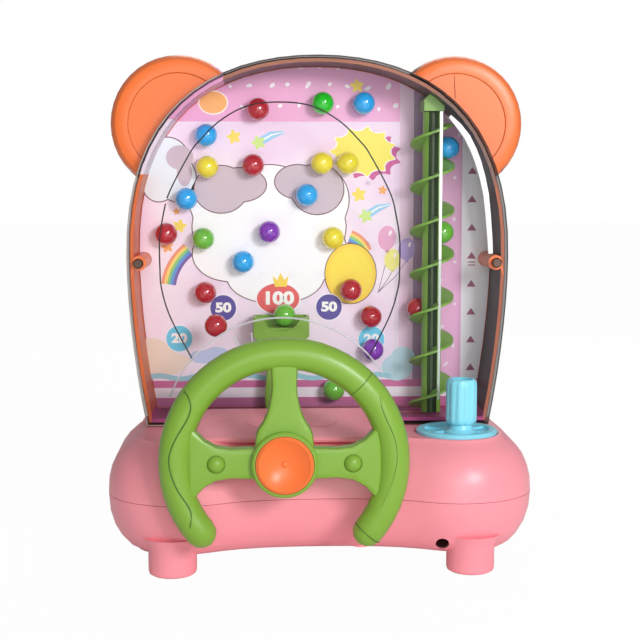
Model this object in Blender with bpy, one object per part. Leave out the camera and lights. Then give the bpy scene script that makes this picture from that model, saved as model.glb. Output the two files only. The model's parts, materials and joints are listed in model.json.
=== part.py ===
"""Toy ball-catching game: two-part base, clear-fronted panel, steering wheel with a catcher, screw lift.

Blender 4.5. Metres, +Z up, front of the toy towards -Y, box centred on the origin in X and Y.
Every sub-part is one named object holding one closed body.
"""
import math

import bmesh
import bpy
import numpy as np
from mathutils import Matrix, Vector

MM = 0.001
POLE = 1e-7
WELD = 2e-6

# Clearances and walls
GAP = 0.3 * MM
WALL = 2.5 * MM

# Base
BASE_HALF_WIDTH = 132.5 * MM
BASE_BACK = 73.0 * MM
BULB_FRONT = -50.0 * MM
WAIST_FRONT = -33.0 * MM
BULB_RADIUS = 47.0 * MM
REAR_CORNER_RADIUS = 27.0 * MM
BACK_SLOPE = 0.15
BASE_BOTTOM = 11.0 * MM
SEAM_HEIGHT = 46.2 * MM
BASE_TOP = 81.5 * MM
TOP_THICKNESS = 3.0 * MM
LEG_RADIUS = 14.8 * MM
LEG_FLARE = 4.0 * MM
FRONT_LEG = (91.5 * MM, -29.5 * MM)
REAR_LEG = (103.0 * MM, 30.0 * MM)
DRAIN_HOLE = (73.0 * MM, 19.0 * MM)
DRAIN_RADIUS = 4.0 * MM
DRAIN_REACH = (-70.0 * MM, -20.0 * MM)
LEDGE_FRONT = -27.0 * MM
LEDGE_SPAN = (-78.0 * MM, 47.0 * MM)
LEDGE_FRONT_HEIGHT = 83.5 * MM
LEDGE_BACK_HEIGHT = 93.0 * MM

# Panel
PANEL_TOP = 318.0 * MM
PANEL_HALF_WIDTH = 122.0 * MM
PANEL_FOOT_HALF_WIDTH = 110.5 * MM
PANEL_WIDEST_HEIGHT = 190.0 * MM
COVER_FRONT = 22.0 * MM
COVER_PLATE = 2.2 * MM
SKIRT_WALL = 1.8 * MM
SKIRT_BACK = 40.0 * MM
TRAY_WALL = 2.2 * MM
CARD_FRONT = 66.0 * MM
CARD_THICKNESS = 1.0 * MM
PANEL_BACK = 69.8 * MM
EAR_RADIUS = 43.7 * MM
EAR_CENTRE = (88.8 * MM, PANEL_TOP - 43.0 * MM)
EAR_DISH_DEPTH = 1.0 * MM
EAR_FRONT = 33.0 * MM
EAR_BACK = 60.0 * MM

# Steering
HUB_X = -23.5 * MM
HUB_Z = 75.0 * MM
STEERING_SHAFT_RADIUS = 3.5 * MM
WHEEL_Y = -61.0 * MM
RIM_RADIUS = 64.5 * MM
RIM_TUBE = 9.4 * MM
RIM_HALF_OPENING = 130.0
HUB_RADIUS = 19.4 * MM
HUB_FRONT = -71.5 * MM
HUB_BACK = -48.0 * MM
HORN_RADIUS = 17.0 * MM
HORN_TRAVEL = 2.4 * MM
HORN_DEPTH = 9.0 * MM
SPRING_RADII = (8.0 * MM, 11.0 * MM)
HORN_RECESS_FLOOR = -56.5 * MM
SHAFT_FRONT = -53.7 * MM
SHAFT_BACK = 63.0 * MM
BRACKET_HALF_WIDTH = 14.0 * MM
BRACKET_FRONT = 58.0 * MM
BRACKET_BACK = 62.0 * MM
STUD_REACH = 40.0 * MM
STUD_RADIUS = 5.2 * MM
STUD_DEPTH = 5.0 * MM
COLUMN_RADIUS = 12.0 * MM
COLUMN_BACK = -18.0 * MM
CHANNEL_HALF_WIDTH = 6.0 * MM
CHANNEL_FRONT = -22.0 * MM
CHANNEL_BACK = 66.0 * MM
SPOKE_FRONT = -66.5 * MM
SPOKE_BACK = -55.5 * MM
STEERING_LIMIT = 30.0

# Catcher
ARM_FRONT = 51.0 * MM
ARM_BACK = 56.0 * MM
CUP_HALF_WIDTH = 18.4 * MM
CUP_TOP = 149.7 * MM
CUP_FLOOR = 142.5 * MM
CUP_BOTTOM = 131.0 * MM
CUP_FRONT = 43.2 * MM
CUP_BACK = 62.4 * MM
CUP_WALL = 2.0 * MM
NOTCH_RADIUS = 13.3 * MM
NOTCH_LIFT = 3.8 * MM

# Balls
BALL_RADIUS = 7.4 * MM

# Lift
AUGER_X = 75.4 * MM
AUGER_Y = 45.1 * MM
AUGER_BOTTOM = 86.5 * MM
AUGER_TOP = PANEL_TOP - 35.0 * MM
BLADE_TOP = PANEL_TOP - 40.5 * MM
BLADE_RADIUS = 14.6 * MM
BLADE_THICKNESS = 1.6 * MM
CORE_RADIUS = 6.5 * MM
GROOVE_DEPTH = 3.4 * MM
CORE_BACK_RADIUS = 5.3 * MM
AUGER_PITCH = 28.5 * MM
AUGER_STEPS = 24
BLADE_START_HEIGHT = 99.2 * MM
DIVIDER_X = 52.8 * MM
DIVIDER_TOP = PANEL_TOP - 56.0 * MM
DIVIDER_BOTTOM = 108.0 * MM
LANE_WALL_X = 96.2 * MM
LANE_WALL_THICKNESS = 1.6 * MM
LANE_WALL_TOP = PANEL_TOP - 60.0 * MM
LANE_FLOOR = BASE_TOP + 6.0 * MM
SPINDLE_RADIUS = 3.0 * MM
BUSH_REACH = 8.0 * MM
BUSH_DEPTH = 4.6 * MM
SPINDLE_TIP = 4.6 * MM

# Crank
CRANK_X = 86.0 * MM
CRANK_Y = -4.0 * MM
DISC_RADIUS = 25.4 * MM
DISC_THICKNESS = 3.4 * MM
DISC_SEAT_DEPTH = 1.2 * MM
GRIP_OFFSET = (1.5 * MM, -8.5 * MM)
GRIP_RADIUS = 9.6 * MM
GRIP_BOTTOM = 88.6 * MM
GRIP_TOP = 116.6 * MM
GRIP_PIN_RADIUS = 3.0 * MM
GRIP_PIN_DROP = 10.0 * MM
GRIP_RECESS_RADIUS = 6.6 * MM
GRIP_RECESS_DEPTH = 6.4 * MM
NECK_RADIUS = 6.6 * MM

# Gears
CRANK_TEETH = 28
AUGER_TEETH = 20
GEAR_BOTTOM = 54.5 * MM
GEAR_THICKNESS = 6.0 * MM
PLATE_BOTTOM = 49.0 * MM
PLATE_THICKNESS = 2.5 * MM
PLATE_POSTS = ((46.0 * MM, 22.0 * MM), (112.5 * MM, 30.0 * MM), (47.5 * MM, -18.0 * MM))
PLATE_BOSS_RADIUS = 6.0 * MM
POST_RADIUS = 3.6 * MM

# Screws
SCREW_SHANK = 1.5 * MM
SCREW_HEAD = 3.2 * MM
HEAD_HEIGHT = 1.8 * MM
PILOT_TOP = 34.0 * MM
PLATE_PILOT_TOP = 66.0 * MM
BASE_SCREWS = (
    (-70.0 * MM, -10.0 * MM), (25.0 * MM, -13.0 * MM), (-80.0 * MM, 50.0 * MM), (32.0 * MM, 52.0 * MM),
)
BASE_POST_RADIUS = 4.2 * MM
BASE_BOSS_RADIUS = 6.0 * MM
SIDE_SCREW_HEIGHT = 186.5 * MM
SIDE_SCREW_INSET = 7.6 * MM
SIDE_BOSS_RADIUS = 4.8 * MM
SIDE_PILOT_BACK = 46.0 * MM

# Pegs: a staggered grid moulded behind the clear window
PEG_RADIUS = 1.5 * MM
PEG_PITCH_X = 20.3 * MM
PEG_PITCH_Z = 20.0 * MM
PEG_FIRST = (-97.0 * MM, 177.0 * MM)
PEG_ROWS = 6
PEG_FIELD_CENTRE = (-24.5 * MM, 208.0 * MM)
PEG_FIELD_RADII = (70.0 * MM, 74.0 * MM)
RIB_WIDTH = 1.0 * MM
RIB_DEPTH = 1.2 * MM

# Guide line round the play field: distance from its middle line and height
GUIDE_MIDDLE = -24.4 * MM
GUIDE_HALF = (
    (0.0, 288.4), (20.7, 285.9), (38.5, 276.1), (51.0, 263.8), (57.2, 255.8), (70.0, 232.0),
    (74.0, 217.9), (76.6, 201.3), (76.6, 183.0), (75.7, 170.0), (70.0, 151.1), (56.4, 124.6),
)
GUIDE_STEPS = 3
CATCH_RISE = 1.7 * MM
CATCH_SPAN = (160.5, 31.7)

# Ball ramp
RAMP_LEFT_HEIGHT = 98.0 * MM
RAMP_RIGHT_HEIGHT = 89.2 * MM
RAMP_WALL = 2.0 * MM

COLOURS = {
    "pink": ((0.93, 0.33, 0.38), 0.42, 0.0),
    "orange": ((0.93, 0.26, 0.05), 0.4, 0.0),
    "green": ((0.27, 0.55, 0.05), 0.4, 0.0),
    "cyan": ((0.28, 0.74, 0.86), 0.4, 0.0),
    "clear": ((0.86, 0.9, 0.95), 0.08, 0.0),
    "card": ((0.84, 0.6, 0.78), 0.6, 0.0),
    "steel": ((0.55, 0.55, 0.57), 0.3, 1.0),
    "white": ((0.85, 0.85, 0.83), 0.45, 0.0),
    "red": ((0.6, 0.02, 0.05), 0.2, 0.0),
    "blue": ((0.04, 0.4, 0.88), 0.2, 0.0),
    "yellow": ((0.9, 0.75, 0.03), 0.2, 0.0),
    "leaf": ((0.2, 0.5, 0.04), 0.2, 0.0),
    "lime": ((0.02, 0.6, 0.02), 0.2, 0.0),
    "purple": ((0.22, 0.03, 0.45), 0.2, 0.0),
}

# Balls lying on the card: colour, X and height in millimetres
CARD_BALLS = (
    ("red", -38.1, 285.4), ("lime", 4.4, 289.4), ("blue", 31.4, 289.4), ("blue", -72.2, 268.5),
    ("yellow", -71.7, 247.7), ("red", -41.6, 249.0), ("yellow", 3.8, 250.3), ("yellow", 20.9, 250.3),
    ("blue", -85.6, 226.8), ("blue", -6.1, 229.3), ("red", -99.0, 203.8), ("leaf", -74.7, 200.5),
    ("purple", -31.2, 205.0), ("yellow", 11.1, 201.0), ("blue", -48.5, 185.2), ("red", -73.7, 164.8),
    ("red", 23.1, 166.4), ("red", 36.5, 148.3), ("purple", 37.9, 126.1),
)
# One ball leans on the clear window, clear of the catcher's path
WINDOW_BALL = ("red", -66.0, 145.7)
# One ball has reached the ramp
RAMP_BALL = ("leaf", 11.8)
# The caught ball lies this far right of the cup's middle
CAUGHT_SHIFT = 2.3 * MM
# Balls riding on the auger's blade: colour, direction from the axis in degrees, turn of the blade
LIFT_BALLS = (("blue", 32.0, 5), ("leaf", 50.0, 3), ("red", 128.0, 1))


def clear_scene():
    """Remove every object that is already in the scene."""
    for item in list(bpy.data.objects):
        bpy.data.objects.remove(item, do_unlink=True)


def material(colour):
    """Return the shared Principled material of a named colour."""
    found = bpy.data.materials.get(colour)
    if found:
        return found
    base, roughness, metallic = COLOURS[colour]
    made = bpy.data.materials.new(colour)
    made.use_nodes = True
    shader = made.node_tree.nodes["Principled BSDF"]
    shader.inputs["Base Color"].default_value = (*base, 1.0)
    shader.inputs["Roughness"].default_value = roughness
    shader.inputs["Metallic"].default_value = metallic
    made.diffuse_color = (*base, 1.0)
    return made


# ---------------------------------------------------------------- outlines

def bezier(start, handle_a, handle_b, end, count):
    """Points of a cubic curve, without its last one."""
    points = []
    for step in range(count):
        t = step / count
        s = 1.0 - t
        weights = (s ** 3, 3 * s * s * t, 3 * s * t * t, t ** 3)
        points.append(tuple(sum(w * p[i] for w, p in zip(weights, (start, handle_a, handle_b, end)))
                            for i in range(2)))
    return points


def arc(centre, radius, start, end, count):
    """Points on a circle from one direction to another, in degrees, both ends included."""
    return [(centre[0] + radius * math.cos(math.radians(start + (end - start) * i / count)),
             centre[1] + radius * math.sin(math.radians(start + (end - start) * i / count)))
            for i in range(count + 1)]


def inset(points, distance):
    """Move a closed outline inwards by a distance, keeping its corners sharp."""
    ring = np.array(points)
    area = np.sum(ring[:, 0] * np.roll(ring[:, 1], -1) - np.roll(ring[:, 0], -1) * ring[:, 1])
    side = 1.0 if area > 0 else -1.0
    edges = np.roll(ring, -1, axis=0) - ring
    edges = edges / np.linalg.norm(edges, axis=1)[:, None]
    normals = np.stack([-edges[:, 1], edges[:, 0]], axis=1) * side
    before = np.roll(normals, 1, axis=0)
    share = 1.0 + np.sum(before * normals, axis=1)
    return ring + (before + normals) / share[:, None] * distance


def mirrored(half):
    """Close an outline from its right half, which starts and ends on the middle line."""
    return half + [(-x, y) for x, y in reversed(half) if x > GAP]


def panel_outline():
    """The arched outline of the upright panel, in X and Z."""
    side = (PANEL_HALF_WIDTH, PANEL_WIDEST_HEIGHT)
    foot = (PANEL_FOOT_HALF_WIDTH, BASE_TOP + GAP)
    rise = PANEL_TOP - PANEL_WIDEST_HEIGHT
    drop = PANEL_WIDEST_HEIGHT - foot[1]
    upper = bezier((0.0, PANEL_TOP), (PANEL_HALF_WIDTH * 0.574, PANEL_TOP),
                   (PANEL_HALF_WIDTH * 1.008, PANEL_TOP - rise * 0.281), side, 16)
    lower = bezier(side, (PANEL_HALF_WIDTH, side[1] - drop * 0.28),
                   (PANEL_HALF_WIDTH - 4 * MM, foot[1] + drop * 0.36), foot, 7)
    return mirrored(upper + lower + [foot])


def base_outline():
    """The plan outline of the base at its seam, in X and Y: two round bulbs in front, a flat back."""
    bulb = (BASE_HALF_WIDTH - BULB_RADIUS, BULB_FRONT + BULB_RADIUS)
    corner = (BASE_HALF_WIDTH - REAR_CORNER_RADIUS, BASE_BACK - REAR_CORNER_RADIUS)
    start = 242.0
    first = arc(bulb, BULB_RADIUS, start, 360.0, 9)
    waist = bezier((0.0, WAIST_FRONT), (bulb[0] * 0.4, WAIST_FRONT),
                   (first[0][0] - 13 * MM, first[0][1] + 6.9 * MM), first[0], 5)
    return mirrored(waist + first + arc(corner, REAR_CORNER_RADIUS, 0.0, 90.0, 6) + [(0.0, BASE_BACK)])


# ---------------------------------------------------------------- mesh building

def finish_mesh(name, bm, smooth=False):
    """Turn a bmesh into a scene object with outward faces."""
    bmesh.ops.recalc_face_normals(bm, faces=bm.faces)
    mesh = bpy.data.meshes.new(name)
    bm.to_mesh(mesh)
    bm.free()
    made = bpy.data.objects.new(name, mesh)
    bpy.context.scene.collection.objects.link(made)
    if smooth:
        for face in mesh.polygons:
            face.use_smooth = True
    return made


def loft(name, rings, smooth=False, closed=False):
    """Join rings of equally many 3-D points, capping both ends unless the tube closes on itself."""
    bm = bmesh.new()
    rows = [[bm.verts.new(point) for point in ring] for ring in rings]
    count = len(rows[0])
    pairs = list(zip(rows, rows[1:]))
    if closed:
        pairs.append((rows[-1], rows[0]))
    for low, high in pairs:
        for i in range(count):
            j = (i + 1) % count
            bm.faces.new((low[i], low[j], high[j], high[i]))
    if not closed:
        bm.faces.new(rows[0])
        bm.faces.new(list(reversed(rows[-1])))
    return finish_mesh(name, bm, smooth)


def along_y(points, y):
    """Place an X-Z outline at a depth."""
    return [(p[0], y, p[1]) for p in points]


def along_z(points, z):
    """Place an X-Y outline at a height."""
    return [(p[0], p[1], z) for p in points]


def slab(name, outline, front, back, edge=0.0, smooth=False):
    """A plate with an X-Z outline, its front and back edges rounded by a radius."""
    if edge <= 0.0:
        return loft(name, [along_y(outline, front), along_y(outline, back)], smooth)
    rings = []
    for turn in (90, 45, 0):
        angle = math.radians(turn)
        rings.append(along_y(inset(outline, edge * (1 - math.cos(angle))),
                             front + edge * (1 - math.sin(angle))))
    for turn in (0, 45, 90):
        angle = math.radians(turn)
        rings.append(along_y(inset(outline, edge * (1 - math.cos(angle))),
                             back - edge * (1 - math.sin(angle))))
    return loft(name, rings, smooth)


def box(name, low, high):
    """A block between two corners."""
    outline = [(low[0], low[2]), (high[0], low[2]), (high[0], high[2]), (low[0], high[2])]
    return slab(name, outline, low[1], high[1])


def lathe(name, profile, centre, axis="Z", segments=32, smooth=True):
    """Turn a closed profile of (radius, distance) pairs about an axis through a centre."""
    bm = bmesh.new()
    flat_start = profile[0][0] < POLE and abs(profile[0][1] - profile[1][1]) < POLE
    flat_end = profile[-1][0] < POLE and abs(profile[-1][1] - profile[-2][1]) < POLE
    rows = []
    for radius, height in profile[1 if flat_start else 0:len(profile) - (1 if flat_end else 0)]:
        if radius < POLE:
            rows.append([bm.verts.new((0.0, 0.0, height))])
            continue
        rows.append([bm.verts.new((radius * math.cos(2 * math.pi * i / segments),
                                   radius * math.sin(2 * math.pi * i / segments), height))
                     for i in range(segments)])
    pairs = list(zip(rows, rows[1:]))
    if profile[0][0] > POLE and profile[-1][0] > POLE:
        pairs.append((rows[-1], rows[0]))
    for low, high in pairs:
        for i in range(segments):
            j = (i + 1) % segments
            corners = [low[i % len(low)], low[j % len(low)], high[j % len(high)], high[i % len(high)]]
            unique = list(dict.fromkeys(corners))
            if len(unique) > 2:
                bm.faces.new(unique)
    if flat_start:
        bm.faces.new(rows[0])
    if flat_end:
        bm.faces.new(rows[-1])
    turn = {"Z": Matrix.Identity(4), "Y": Matrix.Rotation(-math.pi / 2, 4, "X"),
            "X": Matrix.Rotation(math.pi / 2, 4, "Y")}[axis]
    bmesh.ops.transform(bm, matrix=Matrix.Translation(Vector(centre)) @ turn, verts=bm.verts)
    return finish_mesh(name, bm, smooth)


def rod(name, radius, centre, start, end, axis="Z", segments=24):
    """A plain cylinder along an axis, from one distance to another, measured from the centre."""
    return lathe(name, [(0.0, start), (radius, start), (radius, end), (0.0, end)], centre, axis, segments)


def combine(target, tool, operation):
    """Join or cut one object with another and remove the tool."""
    modifier = target.modifiers.new("combine", "BOOLEAN")
    modifier.operation = operation
    modifier.solver = "EXACT"
    modifier.object = tool
    view = bpy.context.evaluated_depsgraph_get()
    result = bpy.data.meshes.new_from_object(target.evaluated_get(view))
    target.modifiers.clear()
    bm = bmesh.new()
    bm.from_mesh(result)
    bmesh.ops.remove_doubles(bm, verts=bm.verts, dist=WELD)
    bm.to_mesh(result)
    bm.free()
    target.data = result
    bpy.data.objects.remove(tool, do_unlink=True)
    return target


def join(target, *tools):
    """Weld pieces to a target."""
    for tool in tools:
        combine(target, tool, "UNION")
    return target


def cut(target, *tools):
    """Cut pieces out of a target."""
    for tool in tools:
        combine(target, tool, "DIFFERENCE")
    return target


def finish(item, colour, pivot=(0.0, 0.0, 0.0), parent=None):
    """Give a piece its material, put its origin on its joint's axis and hang it on its parent."""
    item.data.name = item.name
    item.data.materials.clear()
    item.data.materials.append(material(colour))
    for face in item.data.polygons:
        face.material_index = 0
    item.data.transform(Matrix.Translation(-Vector(pivot)))
    item.location = pivot
    if parent:
        item.parent = parent
        item.matrix_parent_inverse = Matrix.Translation(-Vector(parent.location))
    return item


def pivot_empty(name, location):
    """An empty on a joint's axis, for the pieces that move together."""
    made = bpy.data.objects.new(name, None)
    made.location = location
    bpy.context.scene.collection.objects.link(made)
    return made


# ---------------------------------------------------------------- base

LOWER_LEVELS = ((0.0, 24.0), (1.2, 17.0), (4.0, 12.2), (9.0, 7.6), (16.0, 3.6), (25.0, 0.9))
UPPER_LEVELS = ((9.0, 0.5), (16.0, 2.2), (22.0, 5.0), (27.0, 8.8), (31.0, 13.6), (32.8, 16.6))


def base_ring(step_in, height, extra=0.0):
    """One ring of the base, set in by an amount that is smaller along the steep back."""
    ring = inset(base_outline(), step_in + extra)
    stretch = (BASE_BACK - BACK_SLOPE * step_in - extra) / (BASE_BACK - step_in - extra)
    ring[:, 1] = np.where(ring[:, 1] > 0.0, ring[:, 1] * stretch, ring[:, 1])
    return along_z(ring, height)


def base_rings(levels, start, inner):
    """Rings of a base shell's outer or inner face at heights above a start, each set in by an amount."""
    extra = WALL if inner else 0.0
    return [base_ring(step_in * MM, start + rise * MM, extra) for rise, step_in in levels]


def seam_rings(height):
    """The two rings at the seam, on the inner and outer faces."""
    return [base_ring(0.0, height, WALL), base_ring(0.0, height)]


def ledge():
    """The sloping shelf in front of the panel, between the two bulbs."""
    low = BASE_TOP - TOP_THICKNESS / 2
    back = COVER_FRONT - GAP
    profile = [(LEDGE_FRONT + 1 * MM, low), (LEDGE_FRONT, BASE_TOP),
               (LEDGE_FRONT + 0.8 * MM, BASE_TOP + 1.4 * MM),
               (LEDGE_FRONT + 3.5 * MM, LEDGE_FRONT_HEIGHT), (back, LEDGE_BACK_HEIGHT), (back, low)]
    rings = []
    for x, shrink in ((LEDGE_SPAN[0], 0.25), (LEDGE_SPAN[0] + 4 * MM, 0.9), (LEDGE_SPAN[0] + 9 * MM, 1.0),
                      (LEDGE_SPAN[1] - 9 * MM, 1.0), (LEDGE_SPAN[1] - 4 * MM, 0.9), (LEDGE_SPAN[1], 0.25)):
        rings.append([(x, y, z if z <= BASE_TOP else BASE_TOP + (z - BASE_TOP) * shrink)
                      for y, z in profile])
    return loft("ledge", rings)


def arm_slot(name, low, high):
    """Cutter for the slot that the swinging arm passes through."""
    reach = (high - HUB_Z) * math.tan(math.radians(STEERING_LIMIT)) + 12.5 * MM
    return box(name, (HUB_X - reach, ARM_FRONT - 3 * GAP, low), (HUB_X + reach, ARM_BACK + 3 * GAP, high))


def base_upper_shell():
    """The upper half of the base, with the column boss, the shelf, the collars and the screw posts."""
    seam = SEAM_HEIGHT + GAP / 2
    inner = base_rings(UPPER_LEVELS[:-1], seam, True)
    inner = [ring for ring in inner if ring[0][2] < BASE_TOP - TOP_THICKNESS - MM]
    inner_top = base_ring(16.6 * MM, BASE_TOP - TOP_THICKNESS, WALL)
    outer = base_rings(UPPER_LEVELS, seam, False)
    top = [base_ring(17.4 * MM, BASE_TOP - 0.5 * MM), base_ring(18.2 * MM, BASE_TOP)]
    shell = loft("base_upper_shell", [inner_top] + inner[::-1] + seam_rings(seam) + outer + top, True)
    join(shell, ledge(),
         rod("column", COLUMN_RADIUS, (HUB_X, 0.0, HUB_Z), HUB_BACK + GAP, COLUMN_BACK, "Y", 32))
    for x, y in BASE_SCREWS:
        join(shell, rod("post", BASE_POST_RADIUS, (x, y, 0.0), BASE_BOTTOM + WALL + 2.6 * MM, BASE_TOP - MM,
                        segments=16))
    for x, y in PLATE_POSTS:
        join(shell, rod("post", POST_RADIUS, (x, y, 0.0), PLATE_BOTTOM + PLATE_THICKNESS + GAP, BASE_TOP - MM,
                        segments=16))
    seat = rod("seat", DISC_RADIUS + 2 * GAP, (CRANK_X, CRANK_Y, 0.0), BASE_TOP - DISC_SEAT_DEPTH,
               BASE_TOP + WALL,
               segments=48)
    channel = box("channel", (HUB_X - CHANNEL_HALF_WIDTH, CHANNEL_FRONT, HUB_Z - 2 * CHANNEL_HALF_WIDTH),
                  (HUB_X + CHANNEL_HALF_WIDTH, CHANNEL_BACK, HUB_Z + STEERING_SHAFT_RADIUS + 2 * GAP))
    cut(shell, seat, channel, arm_slot("slot", HUB_Z - 2 * MM, BASE_TOP + 4 * MM),
        rod("bore", STEERING_SHAFT_RADIUS + GAP, (HUB_X, 0.0, HUB_Z), HUB_BACK - WALL,
            CHANNEL_FRONT + 12 * MM, "Y"),
        rod("bore", SPINDLE_RADIUS + GAP, (CRANK_X, CRANK_Y, 0.0), HUB_Z, BASE_TOP + WALL),
        rod("bore", SPINDLE_RADIUS + GAP, (AUGER_X, AUGER_Y, 0.0), HUB_Z, BASE_TOP + WALL))
    for x, y in BASE_SCREWS:
        cut(shell, rod("pilot", SCREW_SHANK + GAP, (x, y, 0.0), BASE_BOTTOM, PILOT_TOP, segments=12))
    for x, y in PLATE_POSTS:
        cut(shell, rod("pilot", SCREW_SHANK + GAP, (x, y, 0.0), PLATE_BOTTOM, PLATE_PILOT_TOP, segments=12))
    return finish(shell, "pink")


def base_lower_shell():
    """The lower half of the base, with four legs and the screw bosses."""
    seam = SEAM_HEIGHT - GAP / 2
    outer = base_rings(LOWER_LEVELS, BASE_BOTTOM, False)
    inner = [ring for ring in base_rings(LOWER_LEVELS, BASE_BOTTOM, True)
             if ring[0][2] > BASE_BOTTOM + 1.5 * WALL]
    inner_floor = base_ring(14.6 * MM, BASE_BOTTOM + WALL, WALL)
    shell = loft("base_lower_shell", [inner_floor] + inner + seam_rings(seam) + outer[::-1], True)
    cavity = loft("cavity", [inner_floor] + inner + [base_ring(0.0, seam + WALL, WALL)])
    for side in (-1, 1):
        for x, y in (FRONT_LEG, REAR_LEG):
            leg = lathe("leg", [(0.0, 0.0), (LEG_RADIUS - 2.2 * MM, 0.0), (LEG_RADIUS - 0.6 * MM, 0.9 * MM),
                                (LEG_RADIUS, 2.8 * MM), (LEG_RADIUS, 17.0 * MM),
                                (LEG_RADIUS + LEG_FLARE, 24.0 * MM), (0.0, 24.0 * MM)],
                        (side * x, y, 0.0), segments=24)
            join(shell, leg)
    cut(shell, cavity)
    for x, y in BASE_SCREWS:
        join(shell, rod("boss", BASE_BOSS_RADIUS, (x, y, 0.0), BASE_BOTTOM + MM, BASE_BOTTOM + WALL + 2.3 * MM,
                        segments=16))
        cut(shell, rod("head", SCREW_HEAD + GAP, (x, y, 0.0), 0.0, BASE_BOTTOM + 2.4 * MM, segments=16),
            rod("hole", SCREW_SHANK + GAP, (x, y, 0.0), 0.0, BASE_BOTTOM + 8 * MM, segments=12))
    cut(shell, rod("drain", DRAIN_RADIUS, (DRAIN_HOLE[0], 0.0, DRAIN_HOLE[1]), *DRAIN_REACH, "Y", 20))
    return finish(shell, "pink")


# ---------------------------------------------------------------- panel

def ear(side):
    """One round ear, hollow from behind, with a shallow round dish in front."""
    centre = (side * EAR_CENTRE[0], 0.0, EAR_CENTRE[1])
    r = EAR_RADIUS
    disc = lathe("ear", [(0.0, EAR_FRONT + EAR_DISH_DEPTH), (r * 0.73, EAR_FRONT + EAR_DISH_DEPTH),
                         (r * 0.745, EAR_FRONT + 0.3 * MM), (r * 0.84, EAR_FRONT),
                         (r * 0.92, EAR_FRONT + 1.0 * MM), (r * 0.97, EAR_FRONT + 3.4 * MM),
                         (r, EAR_FRONT + 7.5 * MM), (r, EAR_BACK - 4 * MM), (r - 3 * MM, EAR_BACK),
                         (0.0, EAR_BACK)], centre, "Y", 40)
    hollow = rod("hollow", r - WALL - MM, centre, EAR_FRONT + 8 * MM, EAR_BACK + WALL, "Y", 32)
    return cut(disc, hollow)


def rear_shell():
    """The orange tray behind the window, with the two ears."""
    outline = panel_outline()
    rim = inset(outline, SKIRT_WALL + GAP)
    rings = [along_y(rim, COVER_FRONT + COVER_PLATE + GAP), along_y(rim, SKIRT_BACK + GAP),
             along_y(outline, SKIRT_BACK + GAP), along_y(outline, PANEL_BACK - 4 * MM),
             along_y(inset(outline, 1.2 * MM), PANEL_BACK - 1.2 * MM),
             along_y(inset(outline, 4 * MM), PANEL_BACK)]
    shell = loft("rear_shell", rings, True)
    ears = [ear(-1), ear(1)]
    for item in ears:
        room = slab("room", inset(outline, -GAP), 0.0, SKIRT_BACK + GAP)
        cut(item, room)
    join(shell, *ears)
    cavity = slab("cavity", inset(outline, SKIRT_WALL + GAP + TRAY_WALL), 0.0,
                  CARD_FRONT + CARD_THICKNESS + GAP)
    cut(shell, cavity, arm_slot("slot", BASE_TOP - MM, BASE_TOP + 6 * MM),
        rod("bore", SPINDLE_RADIUS + GAP, (AUGER_X, AUGER_Y, 0.0), HUB_Z, BASE_TOP + 8 * MM))
    for side in (-1, 1):
        join(shell, side_boss(side))
        x = side * (PANEL_HALF_WIDTH - SIDE_SCREW_INSET)
        cut(shell, rod("pilot", SCREW_SHANK + GAP, (x, 0.0, SIDE_SCREW_HEIGHT), COVER_FRONT,
                       SIDE_PILOT_BACK, "Y", 12))
    return finish(shell, "orange")


def side_boss(side):
    """A round boss behind the window that takes a side screw."""
    x = side * (PANEL_HALF_WIDTH - SIDE_SCREW_INSET)
    return rod("boss", SIDE_BOSS_RADIUS, (x, 0.0, SIDE_SCREW_HEIGHT), COVER_FRONT + COVER_PLATE + GAP,
               PANEL_BACK - 2 * MM, "Y", 20)


def rib(name, points, depth):
    """A thin rib along a path on the window's inner face."""
    path = np.array(points)
    ahead = np.gradient(path, axis=0)
    ahead /= np.linalg.norm(ahead, axis=1)[:, None]
    across = np.stack([-ahead[:, 1], ahead[:, 0]], axis=1) * RIB_WIDTH / 2
    outline = [tuple(p) for p in path + across] + [tuple(p) for p in (path - across)[::-1]]
    back = COVER_FRONT + COVER_PLATE
    return slab(name, outline, back - MM, back + depth)


def guide_path():
    """A smooth path over the guide line's points, from its left foot over the top to its right foot."""
    half = [(x * MM, z * MM) for x, z in GUIDE_HALF]
    corners = [(GUIDE_MIDDLE - x, z) for x, z in reversed(half)]
    corners += [(GUIDE_MIDDLE + x, z) for x, z in half[1:]]
    knots = np.array([corners[0]] + corners + [corners[-1]])
    path = []
    for a, b, c, d in zip(knots, knots[1:], knots[2:], knots[3:]):
        for step in range(GUIDE_STEPS):
            t = step / GUIDE_STEPS
            path.append(tuple(b + (c - a) * t / 2 + (2 * a - 5 * b + 4 * c - d) * t * t / 2
                              + (3 * b - a - 3 * c + d) * t ** 3 / 2))
    return path + [corners[-1]]


def peg_places():
    """Grid places inside the play field that no ball is in the way of."""
    places = []
    balls = [(x * MM, z * MM) for _, x, z in CARD_BALLS]
    for row in range(PEG_ROWS):
        for column in range(8):
            x = PEG_FIRST[0] + (column + 0.5 * (row % 2)) * PEG_PITCH_X
            z = PEG_FIRST[1] + row * PEG_PITCH_Z
            reach = math.hypot((x - PEG_FIELD_CENTRE[0]) / PEG_FIELD_RADII[0],
                               (z - PEG_FIELD_CENTRE[1]) / PEG_FIELD_RADII[1])
            clear = all(math.hypot(x - bx, z - bz) > BALL_RADIUS + PEG_RADIUS + GAP for bx, bz in balls)
            if reach < 1.0 and clear:
                places.append((x, z))
    return places


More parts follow.
